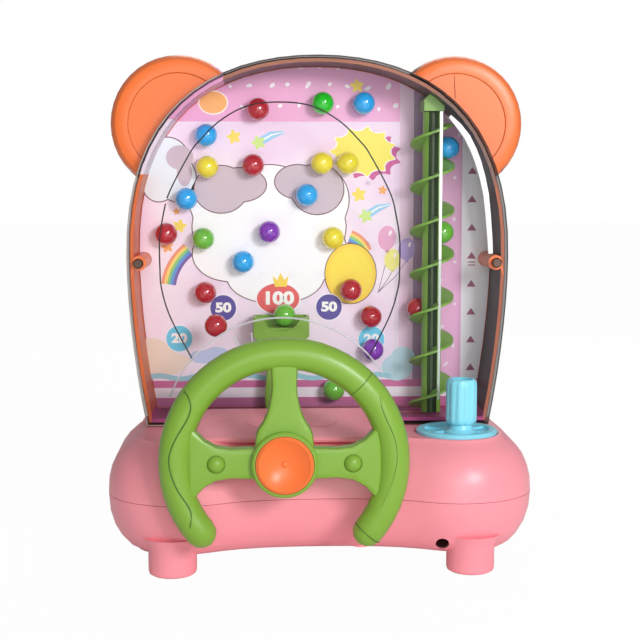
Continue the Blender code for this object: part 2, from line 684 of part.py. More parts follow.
def front_cover():
    """The clear window with its skirt, lane walls, pegs and guide ribs."""
    outline = panel_outline()
    back = COVER_FRONT + COVER_PLATE
    inner = inset(outline, SKIRT_WALL)
    rings = [along_y(inset(outline, 1.0 * MM), COVER_FRONT),
             along_y(inset(outline, 0.3 * MM), COVER_FRONT + 0.3 * MM),
             along_y(outline, COVER_FRONT + 1.0 * MM), along_y(outline, SKIRT_BACK),
             along_y(inner, SKIRT_BACK), along_y(inner, back)]
    cover = loft("front_cover", rings)
    wall_back = CARD_FRONT - GAP
    join(cover, box("divider", (DIVIDER_X, back - MM, DIVIDER_BOTTOM),
                    (DIVIDER_X + SKIRT_WALL, wall_back, DIVIDER_TOP)),
         box("lane_wall", (LANE_WALL_X, back - MM, LANE_FLOOR),
             (LANE_WALL_X + LANE_WALL_THICKNESS, wall_back, LANE_WALL_TOP)))
    for x, z in peg_places():
        join(cover, rod("peg", PEG_RADIUS, (x, 0.0, z), back - MM, wall_back, "Y", 8))
    join(cover, rib("guide_line", guide_path(), RIB_DEPTH))
    catch = arc((HUB_X, HUB_Z), CUP_TOP - HUB_Z + CATCH_RISE, *CATCH_SPAN, 24)
    join(cover, rib("catch_line", catch, RIB_DEPTH))
    for side in (-1, 1):
        x = side * (PANEL_HALF_WIDTH - SIDE_SCREW_INSET)
        cut(cover, rod("hole", SCREW_SHANK + GAP, (x, 0.0, SIDE_SCREW_HEIGHT), 0.0, SKIRT_BACK, "Y", 12))
    return finish(cover, "clear")


def print_card():
    """The printed card on the tray's floor."""
    outline = inset(panel_outline(), SKIRT_WALL + TRAY_WALL + 3 * GAP)
    card = slab("print_card", outline, CARD_FRONT, CARD_FRONT + CARD_THICKNESS)
    for side in (-1, 1):
        x = side * (PANEL_HALF_WIDTH - SIDE_SCREW_INSET)
        cut(card, rod("notch", SIDE_BOSS_RADIUS + GAP, (x, 0.0, SIDE_SCREW_HEIGHT), SKIRT_BACK, PANEL_BACK,
                      "Y", 20))
    return finish(card, "card")


def ball_ramp():
    """The sloping floor that leads the balls to the lift, open underneath, slotted for the arm."""
    floor = BASE_TOP + SKIRT_WALL + 3 * GAP + TRAY_WALL
    left = -(PANEL_FOOT_HALF_WIDTH - 6 * MM)
    right = DIVIDER_X + 6 * MM
    front = COVER_FRONT + COVER_PLATE + GAP
    back = CARD_FRONT - GAP
    outline = [(left, floor), (right, floor), (right, floor + 1.2 * MM), (DIVIDER_X, RAMP_RIGHT_HEIGHT),
               (left, RAMP_LEFT_HEIGHT)]
    ramp = slab("ball_ramp", outline, front, back)
    slope = (RAMP_LEFT_HEIGHT - RAMP_RIGHT_HEIGHT) / (DIVIDER_X - left)
    hollow_right = DIVIDER_X - 12 * MM
    hollow = [(left + RAMP_WALL, floor - MM), (hollow_right, floor - MM),
              (hollow_right, RAMP_RIGHT_HEIGHT - RAMP_WALL + slope * (DIVIDER_X - hollow_right)),
              (left + RAMP_WALL, RAMP_LEFT_HEIGHT - RAMP_WALL - slope * RAMP_WALL)]
    cut(ramp, slab("hollow", hollow, front + RAMP_WALL, back - RAMP_WALL),
        arm_slot("slot", BASE_TOP, RAMP_LEFT_HEIGHT + 2 * MM))
    return finish(ramp, "clear")


# ---------------------------------------------------------------- steering

def steering_wheel(parent):
    """The open-bottomed wheel: rim, three spokes and a hub with a recess for the horn."""
    centre = Vector((HUB_X, WHEEL_Y, HUB_Z))
    rings = []
    path = [(-RIM_HALF_OPENING + 2 * RIM_HALF_OPENING * i / 44, 1.0, 0.0) for i in range(45)]
    cap = [(math.sin(math.radians(t)), math.cos(math.radians(t))) for t in (30, 58, 80)]
    ends = [(-RIM_HALF_OPENING, c, s) for s, c in reversed(cap)]
    for angle, scale, push in ends + path + [(RIM_HALF_OPENING, c, s) for s, c in cap]:
        turn = math.radians(angle)
        outward = Vector((math.sin(turn), 0.0, math.cos(turn)))
        forward = Vector((math.cos(turn), 0.0, -math.sin(turn))) * (1 if angle > 0 else -1)
        middle = centre + outward * RIM_RADIUS + forward * push * RIM_TUBE
        rings.append([middle + (outward * math.cos(a) + Vector((0, 1, 0)) * math.sin(a)) * RIM_TUBE * scale
                      for a in np.linspace(0, 2 * math.pi, 14, endpoint=False)])
    wheel = loft("steering_wheel", rings, True)
    reach = RIM_RADIUS - 2 * MM
    side = [(8, 9.5), (22, 9.2), (31, 8.8), (40, 10.2), (47, 14.0), (53, 20.5), (57, 27.0)]
    for sign in (-1, 1):
        outline = [(HUB_X + sign * x * MM, HUB_Z - half * MM) for x, half in side]
        outline += [(HUB_X + sign * x * MM, HUB_Z + half * MM) for x, half in reversed(side)]
        join(wheel, slab("spoke", outline, SPOKE_FRONT, SPOKE_BACK, 2.4 * MM, True))
    up = [(8, 17.5), (17, 16.6), (21, 15.0), (24, 12.8), (28.4, 10.7), (33, 9.2), (39.7, 7.8), (46.4, 7.3),
          (53, 7.6), (reach / MM, 8.6)]
    outline = [(HUB_X + half * MM, HUB_Z + z * MM) for z, half in up]
    outline += [(HUB_X - half * MM, HUB_Z + z * MM) for z, half in reversed(up)]
    join(wheel, slab("spoke", outline, SPOKE_FRONT, SPOKE_BACK, 2.4 * MM, True))
    hub = lathe("hub", [(0.0, HUB_BACK), (HUB_RADIUS - 2 * MM, HUB_BACK), (HUB_RADIUS, HUB_BACK - 2 * MM),
                        (HUB_RADIUS, HUB_FRONT + 1.2 * MM), (HUB_RADIUS - 1.2 * MM, HUB_FRONT),
                        (0.0, HUB_FRONT)],
                (HUB_X, 0.0, HUB_Z), "Y", 40)
    join(wheel, hub)
    cut(wheel, rod("recess", HORN_RADIUS + GAP, (HUB_X, 0.0, HUB_Z), HUB_FRONT - WALL, HORN_RECESS_FLOOR,
                   "Y", 40),
        rod("bore", STEERING_SHAFT_RADIUS + GAP, (HUB_X, 0.0, HUB_Z), SHAFT_FRONT - GAP,
            HUB_BACK + WALL, "Y"))
    for sign in (-1, 1):
        cut(wheel, rod("socket", STUD_RADIUS * 0.6 + GAP, (HUB_X + sign * STUD_REACH, 0.0, HUB_Z),
                       SPOKE_FRONT - WALL, SPOKE_FRONT + STUD_DEPTH + 1.5 * MM, "Y", 20),
            rod("seat", STUD_RADIUS + GAP, (HUB_X + sign * STUD_REACH, 0.0, HUB_Z), SPOKE_FRONT - WALL,
                SPOKE_FRONT + MM, "Y", 24))
    return finish(wheel, "green", (HUB_X, WHEEL_Y, HUB_Z), parent)


def wheel_stud(name, side, parent):
    """A domed cap that snaps into a spoke."""
    r = STUD_RADIUS
    face = SPOKE_FRONT + MM - GAP
    stud = lathe(name, [(0.0, face - 3.6 * MM), (r * 0.45, face - 3.2 * MM), (r * 0.8, face - 2.0 * MM),
                        (r, face), (r * 0.6, face), (r * 0.6, face + STUD_DEPTH), (0.0, face + STUD_DEPTH)],
                 (HUB_X + side * STUD_REACH, 0.0, HUB_Z), "Y", 24)
    return finish(stud, "green", (HUB_X + side * STUD_REACH, face, HUB_Z), parent)


def horn_button(parent):
    """The dished push button in the hub."""
    r = HORN_RADIUS
    front = -BASE_BACK
    horn = lathe("horn_button", [(0.0, front + 5.6 * MM), (r * 0.35, front + 5.0 * MM),
                                 (r * 0.65, front + 3.0 * MM), (r * 0.84, front + 0.8 * MM), (r * 0.9, front),
                                 (r, front + 1.4 * MM), (r, front + HORN_DEPTH), (0.0, front + HORN_DEPTH)],
                 (HUB_X, 0.0, HUB_Z), "Y", 40)
    return finish(horn, "orange", (HUB_X, front, HUB_Z), parent)


def horn_spring(parent):
    """The wave spring behind the horn button, drawn at its pressed height."""
    back = HORN_RECESS_FLOOR - GAP
    front = -BASE_BACK + HORN_DEPTH + HORN_TRAVEL + GAP
    inner, outer = SPRING_RADII
    spring = lathe("horn_spring", [(inner, front), (outer, front), (outer, back), (inner, back)],
                   (HUB_X, 0.0, HUB_Z), "Y", 24)
    return finish(spring, "steel", (HUB_X, back, HUB_Z), parent)


def steering_shaft(parent):
    """The shaft from the wheel through the base to the rear bracket."""
    shaft = rod("steering_shaft", STEERING_SHAFT_RADIUS, (HUB_X, 0.0, HUB_Z), SHAFT_FRONT, SHAFT_BACK, "Y")
    return finish(shaft, "steel", (HUB_X, 0.0, HUB_Z), parent)


def shaft_bracket():
    """The bearing block under the base's top that holds the shaft's rear end."""
    top = HUB_Z + STEERING_SHAFT_RADIUS + GAP
    half = BRACKET_HALF_WIDTH
    outline = [(HUB_X - half, top - 9 * MM), (HUB_X - half / 2, top - 16 * MM),
               (HUB_X + half / 2, top - 16 * MM), (HUB_X + half, top - 9 * MM),
               (HUB_X + half, BASE_TOP - TOP_THICKNESS - GAP), (HUB_X - half, BASE_TOP - TOP_THICKNESS - GAP)]
    block = slab("shaft_bracket", outline, BRACKET_FRONT, BRACKET_BACK)
    cut(block, rod("bore", STEERING_SHAFT_RADIUS + GAP, (HUB_X, 0.0, HUB_Z), BRACKET_FRONT - WALL,
                   BRACKET_BACK + WALL, "Y"))
    return finish(block, "white")


def catcher_arm(parent):
    """The arm clamped to the shaft, with the cup that catches the balls."""
    arm = [(9.0, -4.0), (9.6, 4.0), (10.6, 14.0), (11.0, 22.0), (10.0, 34.0), (9.0, 46.0),
           (9.0, (CUP_BOTTOM - HUB_Z) / MM + 3)]
    outline = [(HUB_X + half * MM, HUB_Z + z * MM) for half, z in arm]
    outline += [(HUB_X - half * MM, HUB_Z + z * MM) for half, z in reversed(arm)]
    piece = slab("catcher_arm", outline, ARM_FRONT, ARM_BACK, 1.2 * MM, True)
    chamfer = 6.0 * MM
    cup = [(HUB_X + CUP_HALF_WIDTH, CUP_BOTTOM + chamfer), (HUB_X + CUP_HALF_WIDTH, CUP_TOP),
           (HUB_X - CUP_HALF_WIDTH, CUP_TOP), (HUB_X - CUP_HALF_WIDTH, CUP_BOTTOM + chamfer),
           (HUB_X - CUP_HALF_WIDTH + chamfer, CUP_BOTTOM), (HUB_X + CUP_HALF_WIDTH - chamfer, CUP_BOTTOM)]
    join(piece, slab("cup", cup, CUP_FRONT, CUP_BACK, 0.8 * MM),
         rod("clamp", STEERING_SHAFT_RADIUS + 4.5 * MM, (HUB_X, 0.0, HUB_Z), ARM_FRONT, ARM_BACK, "Y"))
    cut(piece, box("inside", (HUB_X - CUP_HALF_WIDTH + CUP_WALL, CUP_FRONT + CUP_WALL, CUP_FLOOR),
                   (HUB_X + CUP_HALF_WIDTH - CUP_WALL, CUP_BACK - CUP_WALL, CUP_TOP + WALL)),
        rod("notch", NOTCH_RADIUS, (HUB_X, 0.0, CUP_TOP + NOTCH_LIFT), CUP_FRONT - MM,
            CUP_FRONT + CUP_WALL + GAP, "Y"),
        rod("bore", STEERING_SHAFT_RADIUS + GAP, (HUB_X, 0.0, HUB_Z), ARM_FRONT - MM, ARM_BACK + MM, "Y"))
    return finish(piece, "green", (HUB_X, ARM_FRONT, HUB_Z), parent)


# ---------------------------------------------------------------- lift

def core_radius(facing):
    """Radius of the auger's core at a step round from its front: grooved in front, flatter behind."""
    from_front = min(facing, AUGER_STEPS - facing)
    if from_front <= 1:
        return CORE_RADIUS - GROOVE_DEPTH
    return CORE_RADIUS if from_front < 7 else CORE_BACK_RADIUS


def auger(parent):
    """The lifting screw: a grooved core with one helical blade, grown from a single skin."""
    bm = bmesh.new()
    rise = AUGER_PITCH / AUGER_STEPS
    first_turn = math.ceil((AUGER_BOTTOM + BLADE_THICKNESS - BLADE_START_HEIGHT) / rise)
    steps = int((BLADE_TOP - BLADE_THICKNESS - BLADE_START_HEIGHT) / rise) - first_turn
    columns = []
    for step in range(steps + 1):
        turn = step + first_turn
        angle = 2 * math.pi * turn / AUGER_STEPS - math.pi / 2
        facing = turn % AUGER_STEPS
        core = core_radius(facing)
        height = BLADE_START_HEIGHT + rise * turn
        low, high = height - BLADE_THICKNESS / 2, height + BLADE_THICKNESS / 2
        columns.append([bm.verts.new((r * math.cos(angle), r * math.sin(angle), z))
                        for r, z in ((core, low), (BLADE_RADIUS, low), (BLADE_RADIUS, high), (core, high))])
    for here, ahead in zip(columns, columns[1:]):
        for i in range(3):
            bm.faces.new((here[i], ahead[i], ahead[i + 1], here[i + 1]))
    for i in range(steps - AUGER_STEPS):
        low, high = columns[i], columns[i + AUGER_STEPS]
        bm.faces.new((low[3], columns[i + 1][3], columns[i + AUGER_STEPS + 1][0], high[0]))
    bm.faces.new(columns[0])
    bm.faces.new(list(reversed(columns[-1])))
    first, last = columns[:AUGER_STEPS + 1], columns[-AUGER_STEPS - 1:]
    bottom = [bm.verts.new((c[0].co.x, c[0].co.y, AUGER_BOTTOM)) for c in first[:-1]]
    top = [bm.verts.new((c[3].co.x, c[3].co.y, AUGER_TOP)) for c in last[1:]]
    for i in range(AUGER_STEPS - 1):
        bm.faces.new((first[i][0], first[i + 1][0], bottom[i + 1], bottom[i]))
        bm.faces.new((last[i + 1][3], last[i + 2][3], top[i + 1], top[i]))
    bm.faces.new((first[-2][0], first[-1][0], first[0][3], first[0][0], bottom[0], bottom[-1]))
    bm.faces.new((last[0][3], last[1][3], top[0], top[-1], last[-1][3], last[-1][0]))
    bm.faces.new(bottom)
    bm.faces.new(top)
    bmesh.ops.translate(bm, verts=bm.verts, vec=(AUGER_X, AUGER_Y, 0.0))
    screw = finish_mesh("auger", bm)
    join(screw, rod("spindle", SPINDLE_RADIUS, (AUGER_X, AUGER_Y, 0.0), PLATE_BOTTOM - MM, AUGER_BOTTOM + MM),
         rod("tip", SPINDLE_RADIUS, (AUGER_X, AUGER_Y, 0.0), AUGER_TOP - MM, AUGER_TOP + SPINDLE_TIP))
    return finish(screw, "green", (AUGER_X, AUGER_Y, AUGER_BOTTOM), parent)


def auger_top_bush():
    """The bracket under the tray's roof that holds the auger's upper end."""
    low = AUGER_TOP + 2 * GAP
    left, right = AUGER_X - CORE_RADIUS, AUGER_X + CORE_RADIUS
    outline = [(left, low), (right, low), (right, PANEL_TOP - 31 * MM), (AUGER_X + MM, PANEL_TOP - 26.2 * MM),
               (AUGER_X - 3 * MM, PANEL_TOP - 23.8 * MM), (left, PANEL_TOP - 27 * MM)]
    bush = slab("auger_top_bush", outline, AUGER_Y - BUSH_REACH, CARD_FRONT - GAP)
    cut(bush, rod("bore", SPINDLE_RADIUS + GAP, (AUGER_X, AUGER_Y, 0.0), low - MM, low + BUSH_DEPTH))
    return finish(bush, "green")


def gear_outline(teeth, pitch_radius, first_angle):
    """A gear's outline with straight-sided teeth."""
    module = 2 * pitch_radius / teeth
    pitch = 2 * math.pi / teeth
    points = []
    for tooth in range(teeth):
        middle = first_angle + tooth * pitch
        for offset, radius in ((-0.27, pitch_radius - 1.1 * module), (-0.11, pitch_radius + 0.85 * module),
                               (0.11, pitch_radius + 0.85 * module), (0.27, pitch_radius - 1.1 * module)):
            points.append((radius * math.cos(middle + offset * pitch),
                           radius * math.sin(middle + offset * pitch)))
    return points


def gear(name, centre, teeth, pitch_radius, first_angle, parent):
    """A spur gear with a boss, bored for its spindle."""
    outline = [(centre[0] + x, centre[1] + y) for x, y in gear_outline(teeth, pitch_radius, first_angle)]
    top = GEAR_BOTTOM + GEAR_THICKNESS
    wheel = loft(name, [along_z(outline, GEAR_BOTTOM), along_z(outline, top)])
    join(wheel, rod("boss", 7.0 * MM, (*centre, 0.0), GEAR_BOTTOM + MM, BASE_TOP - TOP_THICKNESS - 2 * GAP))
    cut(wheel, rod("bore", SPINDLE_RADIUS + GAP, (*centre, 0.0), PLATE_BOTTOM, BASE_TOP))
    return finish(wheel, "white", (*centre, GEAR_BOTTOM), parent)


def gear_pair(crank_parent, auger_parent):
    """The two gears between the crank and the auger, in mesh at rest."""
    apart = math.hypot(AUGER_X - CRANK_X, AUGER_Y - CRANK_Y)
    towards = math.atan2(AUGER_Y - CRANK_Y, AUGER_X - CRANK_X)
    share = apart / (CRANK_TEETH + AUGER_TEETH)
    gear("crank_gear", (CRANK_X, CRANK_Y), CRANK_TEETH, share * CRANK_TEETH, towards, crank_parent)
    gear("auger_gear", (AUGER_X, AUGER_Y), AUGER_TEETH, share * AUGER_TEETH,
         towards + math.pi + math.pi / AUGER_TEETH, auger_parent)


def gear_plate():
    """The plate under the gears that carries both spindles."""
    edge = 7.0 * MM
    low = (min(p[0] for p in PLATE_POSTS) - 5 * MM, min(p[1] for p in PLATE_POSTS) - 5 * MM)
    high = (max(p[0] for p in PLATE_POSTS) + 5 * MM, AUGER_Y + 10 * MM)
    corners = ((high[0] - edge, high[1] - edge, 0), (low[0] + edge, high[1] - edge, 90),
               (low[0] + edge, low[1] + edge, 180), (high[0] - edge, low[1] + edge, 270))
    outline = [point for x, y, start in corners for point in arc((x, y), edge, start, start + 90, 4)]
    top = PLATE_BOTTOM + PLATE_THICKNESS
    plate = loft("gear_plate", [along_z(outline, PLATE_BOTTOM), along_z(outline, top)])
    for x, y in ((CRANK_X, CRANK_Y), (AUGER_X, AUGER_Y)):
        join(plate, rod("boss", PLATE_BOSS_RADIUS, (x, y, 0.0), PLATE_BOTTOM - 4 * MM, GEAR_BOTTOM - GAP))
        cut(plate, rod("bore", SPINDLE_RADIUS + GAP, (x, y, 0.0), PLATE_BOTTOM - 1.4 * MM,
                       GEAR_BOTTOM + MM))
    for x, y in PLATE_POSTS:
        cut(plate, rod("hole", SCREW_SHANK + GAP, (x, y, 0.0), PLATE_BOTTOM - MM, top + MM, segments=12))
    return finish(plate, "white")


# ---------------------------------------------------------------- crank

def disc_bottom():
    """Height of the crank disc's underside."""
    return BASE_TOP - DISC_SEAT_DEPTH + GAP


def crank_disc(parent):
    """The disc on the base with its rim, six ribs, the neck and the pin of the grip, and its spindle."""
    low = disc_bottom()
    top = low + DISC_THICKNESS
    r = DISC_RADIUS
    disc = lathe("crank_disc", [(0.0, low), (r - 0.8 * MM, low), (r, low + 0.8 * MM), (r, top - 0.8 * MM),
                                (r - 1.0 * MM, top), (r - 5.0 * MM, top), (r - 5.6 * MM, top - 1.8 * MM),
                                (0.0, top - 1.8 * MM)], (CRANK_X, CRANK_Y, 0.0), segments=48)
    for index in range(6):
        angle = math.radians(60 * index + 30)
        along = Vector((math.cos(angle), math.sin(angle), 0.0))
        across = Vector((-along.y, along.x, 0.0)) * 1.6 * MM
        start = Vector((CRANK_X, CRANK_Y, 0.0)) + along * 4 * MM
        end = Vector((CRANK_X, CRANK_Y, 0.0)) + along * (r - 4 * MM)
        corners = [start - across, end - across, end + across, start + across]
        join(disc, loft("rib", [[(p.x, p.y, low + MM) for p in corners],
                                [(p.x, p.y, top - 0.4 * MM) for p in corners]]))
    gx, gy = CRANK_X + GRIP_OFFSET[0], CRANK_Y + GRIP_OFFSET[1]
    neck_top = GRIP_BOTTOM - GAP
    pin_top = GRIP_TOP - GRIP_PIN_DROP
    join(disc, lathe("neck", [(0.0, top - 2 * MM), (NECK_RADIUS + 3.4 * MM, top - 2 * MM),
                              (NECK_RADIUS + 3.0 * MM, top - 0.2 * MM),
                              (NECK_RADIUS + 0.8 * MM, top + 1.4 * MM), (NECK_RADIUS, neck_top),
                              (GRIP_PIN_RADIUS, neck_top), (GRIP_PIN_RADIUS, pin_top), (0.0, pin_top)],
                     (gx, gy, 0.0)),
         rod("spindle", SPINDLE_RADIUS, (CRANK_X, CRANK_Y, 0.0), PLATE_BOTTOM - MM, low + MM))
    cut(disc, rod("pilot", SCREW_SHANK + GAP, (gx, gy, 0.0), pin_top - 9 * MM, GRIP_TOP, segments=12))
    return finish(disc, "cyan", (CRANK_X, CRANK_Y, low), parent)


def crank_grip(parent):
    """The fluted sleeve that turns on the disc's pin, open at the top for its screw."""
    gx, gy = CRANK_X + GRIP_OFFSET[0], CRANK_Y + GRIP_OFFSET[1]
    flutes = 12
    rings = []
    for height, shrink, depth in ((GRIP_BOTTOM, 1.6, 0.0), (GRIP_BOTTOM + 1.6 * MM, 0.2, 0.5),
                                  (GRIP_BOTTOM + 3.6 * MM, 0.0, 1.0), (GRIP_TOP - 4.0 * MM, 0.0, 1.0),
                                  (GRIP_TOP - 1.4 * MM, 0.3, 0.5), (GRIP_TOP, 1.4, 0.0)):
        ring = []
        for i in range(flutes * 4):
            radius = GRIP_RADIUS - shrink * MM - (0.8 * MM * depth if i % 4 == 0 else 0.0)
            angle = 2 * math.pi * i / (flutes * 4)
            ring.append((gx + radius * math.cos(angle), gy + radius * math.sin(angle), height))
        rings.append(ring)
    grip = loft("crank_grip", rings, True)
    cut(grip, rod("bore", GRIP_PIN_RADIUS + GAP, (gx, gy, 0.0), GRIP_BOTTOM - MM,
                  GRIP_TOP - GRIP_PIN_DROP + GAP),
        rod("hole", SCREW_SHANK + GAP, (gx, gy, 0.0), GRIP_BOTTOM, GRIP_TOP, segments=12),
        rod("recess", GRIP_RECESS_RADIUS, (gx, gy, 0.0), GRIP_TOP - GRIP_RECESS_DEPTH, GRIP_TOP + MM))
    return finish(grip, "cyan", (gx, gy, GRIP_BOTTOM), parent)


def screw(name, centre, axis, head_at, tip_at, parent=None):
    """A round-headed screw with a cross slot, from its head to its tip."""
    away = 1 if tip_at > head_at else -1
    seat = head_at + away * HEAD_HEIGHT
    profile = [(0.0, head_at), (SCREW_HEAD * 0.8, head_at), (SCREW_HEAD, head_at + away * 0.9 * MM),
               (SCREW_HEAD, seat), (SCREW_SHANK, seat), (SCREW_SHANK, tip_at - away * 1.5 * MM),
               (0.0, tip_at)]
    piece = lathe(name, profile, centre, axis, 16)
    pivot = {"Z": (centre[0], centre[1], seat), "Y": (centre[0], seat, centre[2])}[axis]
    return finish(piece, "steel", pivot, parent)


def screws(grip_parent):
    """Every screw of the toy."""
    gx, gy = CRANK_X + GRIP_OFFSET[0], CRANK_Y + GRIP_OFFSET[1]
    screw("grip_screw", (gx, gy, 0.0), "Z",
          GRIP_TOP - GRIP_RECESS_DEPTH + HEAD_HEIGHT + GAP, GRIP_TOP - 17 * MM, grip_parent)
    for index, (x, y) in enumerate(BASE_SCREWS, 1):
        screw(f"base_screw_{index}", (x, y, 0.0), "Z", BASE_BOTTOM + 0.3 * MM, 31.0 * MM)
    for index, (x, y) in enumerate(PLATE_POSTS, 1):
        screw(f"plate_screw_{index}", (x, y, 0.0), "Z", PLATE_BOTTOM - HEAD_HEIGHT - GAP, 64.0 * MM)
    for side, name in ((-1, "side_screw_left"), (1, "side_screw_right")):
        x = side * (PANEL_HALF_WIDTH - SIDE_SCREW_INSET)
        screw(name, (x, 0.0, SIDE_SCREW_HEIGHT), "Y", COVER_FRONT - HEAD_HEIGHT - GAP, 40.0 * MM)


# ---------------------------------------------------------------- balls

def ball(name, colour, centre, parent=None):
    """A plastic ball."""
    bm = bmesh.new()
    bmesh.ops.create_icosphere(bm, subdivisions=2, radius=BALL_RADIUS)
    bmesh.ops.translate(bm, verts=bm.verts, vec=centre)
    return finish(finish_mesh(name, bm, True), colour, centre, parent)


def blade_height(angle, turn):
    """Height of the blade's middle at a direction from the auger's axis, in degrees."""
    return BLADE_START_HEIGHT + AUGER_PITCH * (turn + (angle + 90.0) / 360.0)


def balls(steering, lift):
    """All the balls: on the card, on the window, on the ramp, in the cup and on the auger."""
    on_card = CARD_FRONT - GAP - BALL_RADIUS
    number = 0
    for colour, x, z in CARD_BALLS:
        number += 1
        ball(f"ball_{number:02d}_{colour}", colour, (x * MM, on_card, z * MM))
    colour, x, z = WINDOW_BALL
    number += 1
    ball(f"ball_{number:02d}_{colour}", colour,
         (x * MM, COVER_FRONT + COVER_PLATE + GAP + BALL_RADIUS, z * MM))
    colour, x = RAMP_BALL
    left = -(PANEL_FOOT_HALF_WIDTH - 6 * MM)
    slope = math.atan2(RAMP_LEFT_HEIGHT - RAMP_RIGHT_HEIGHT, DIVIDER_X - left)
    floor = RAMP_RIGHT_HEIGHT + math.tan(slope) * (DIVIDER_X - x * MM)
    number += 1
    ball(f"ball_{number:02d}_{colour}", colour,
         (x * MM, on_card, floor + (BALL_RADIUS + GAP) / math.cos(slope)))
    number += 1
    ball(f"ball_{number:02d}_caught", "leaf",
         (HUB_X + CAUGHT_SHIFT, (CUP_FRONT + CUP_BACK) / 2, CUP_FLOOR + GAP + BALL_RADIUS), steering)
    steep = math.cos(math.atan2(AUGER_PITCH, 2 * math.pi * (CORE_BACK_RADIUS + BALL_RADIUS)))
    for colour, angle, turn in LIFT_BALLS:
        out = CORE_BACK_RADIUS + GAP + BALL_RADIUS
        number += 1
        height = blade_height(angle, turn) + BLADE_THICKNESS / 2 + (BALL_RADIUS + GAP) / steep
        ball(f"ball_{number:02d}_{colour}", colour,
             (AUGER_X + out * math.cos(math.radians(angle)), AUGER_Y + out * math.sin(math.radians(angle)),
              height), lift)


def build():
    """Build every sub-part in place."""
    clear_scene()
    steering = pivot_empty("steering_axis", (HUB_X, 0.0, HUB_Z))
    crank = pivot_empty("crank_axis", (CRANK_X, CRANK_Y, BASE_TOP))
    lift = pivot_empty("lift_axis", (AUGER_X, AUGER_Y, BASE_TOP))
    base_lower_shell()
    base_upper_shell()
    rear_shell()
    front_cover()
    print_card()
    ball_ramp()
    steering_wheel(steering)
    wheel_stud("wheel_stud_left", -1, steering)
    wheel_stud("wheel_stud_right", 1, steering)
    horn_button(steering)
    horn_spring(steering)
    steering_shaft(steering)
    catcher_arm(steering)
    shaft_bracket()
    auger(lift)
    auger_top_bush()
    gear_pair(crank, lift)
    gear_plate()
    crank_disc(crank)
    crank_grip(crank)
    screws(crank)
    balls(steering, lift)


build()
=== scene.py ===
"""Toy ball-catching game with a steering wheel: finishes, printed card and small details on its frame.

Metres, +Z up, front of the toy towards -Y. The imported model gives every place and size.
"""

import json
import logging
import math
from dataclasses import dataclass, field
from enum import Enum
from functools import partialmethod
from typing import Callable, Iterable, Optional, Sequence

import bmesh
import bpy
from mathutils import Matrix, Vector


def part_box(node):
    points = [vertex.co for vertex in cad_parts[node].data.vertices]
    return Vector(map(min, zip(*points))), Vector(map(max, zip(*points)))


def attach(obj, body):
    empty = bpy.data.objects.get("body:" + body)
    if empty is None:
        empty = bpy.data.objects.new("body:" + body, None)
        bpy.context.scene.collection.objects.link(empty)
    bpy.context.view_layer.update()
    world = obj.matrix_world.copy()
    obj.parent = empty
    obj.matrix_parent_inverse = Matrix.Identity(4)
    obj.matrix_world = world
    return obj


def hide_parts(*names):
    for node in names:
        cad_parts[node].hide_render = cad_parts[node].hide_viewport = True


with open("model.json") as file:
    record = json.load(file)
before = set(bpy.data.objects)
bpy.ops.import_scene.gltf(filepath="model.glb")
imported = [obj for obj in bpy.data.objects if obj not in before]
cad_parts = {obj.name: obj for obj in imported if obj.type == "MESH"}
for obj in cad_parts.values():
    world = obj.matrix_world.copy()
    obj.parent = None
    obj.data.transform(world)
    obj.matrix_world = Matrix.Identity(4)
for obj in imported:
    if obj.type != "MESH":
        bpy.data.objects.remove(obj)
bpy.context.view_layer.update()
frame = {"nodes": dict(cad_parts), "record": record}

log = logging.getLogger("ball_game")
MM = 0.001
Rgb = tuple[int, int, int]
Flat = tuple[float, float]
Piece, Node, Socket, Tree = bpy.types.Object, bpy.types.Node, bpy.types.NodeSocket, bpy.types.NodeTree
ORIGIN = (0.0, 0.0, 0.0)
UPRIGHT = (math.pi / 2, 0.0, 0.0)
MERGE = 0.002 * MM
WHITE_LIGHT = (1.0, 1.0, 1.0, 1.0)
HEAD_BAND = 277.6 * MM
HEAD_PINK = (240, 168, 212)
HEAD_EDGE = (246, 228, 244)
FOOT_MAGENTA = (196, 84, 146)


# ---------------------------------------------------------------- small helpers

def linear(colour: Rgb) -> tuple[float, float, float, float]:
    """Turns a written 0-255 colour into the linear one that shaders take.

    Args:
        colour: red, green and blue from 0 to 255.

    Returns:
        Linear red, green, blue and an alpha of one.
    """
    parts = [c / 255.0 for c in colour]
    red, green, blue = (c / 12.92 if c <= 0.04045 else ((c + 0.055) / 1.055) ** 2.4 for c in parts)
    return red, green, blue, 1.0


def body_of_node(node: str) -> str:
    """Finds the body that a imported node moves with.

    Args:
        node: the node's name.

    Returns:
        The body's name.
    """
    for body, members in frame["record"]["behaviour"]["bodies"].items():
        if node in members:
            return body
    raise KeyError(node)


def only(piece: Piece) -> None:
    """Makes one object the only selected and active one."""
    if bpy.context.object and bpy.context.object.mode != "OBJECT":
        bpy.ops.object.mode_set(mode="OBJECT")
    bpy.ops.object.select_all(action="DESELECT")
    piece.select_set(True)
    bpy.context.view_layer.objects.active = piece


def start(name: str) -> Piece:
    """Names the primitive just added and returns it."""
    piece = bpy.context.object
    piece.name = name
    piece.data.name = name
    return piece


def added(name: str, add: Callable[..., object], **settings: object) -> Piece:
    """Adds one of Blender's primitives with nothing else selected, and names it."""
    bpy.ops.object.select_all(action="DESELECT")
    add(**settings)
    return start(name)


def linked(name: str, data: bpy.types.ID) -> Piece:
    """Stands an object with this data in the scene."""
    piece = bpy.data.objects.new(name, data)
    bpy.context.scene.collection.objects.link(piece)
    return piece


def settle(piece: Piece) -> None:
    """Moves an object's place and turn into its mesh."""
    only(piece)
    bpy.ops.object.transform_apply(location=True, rotation=True, scale=True)


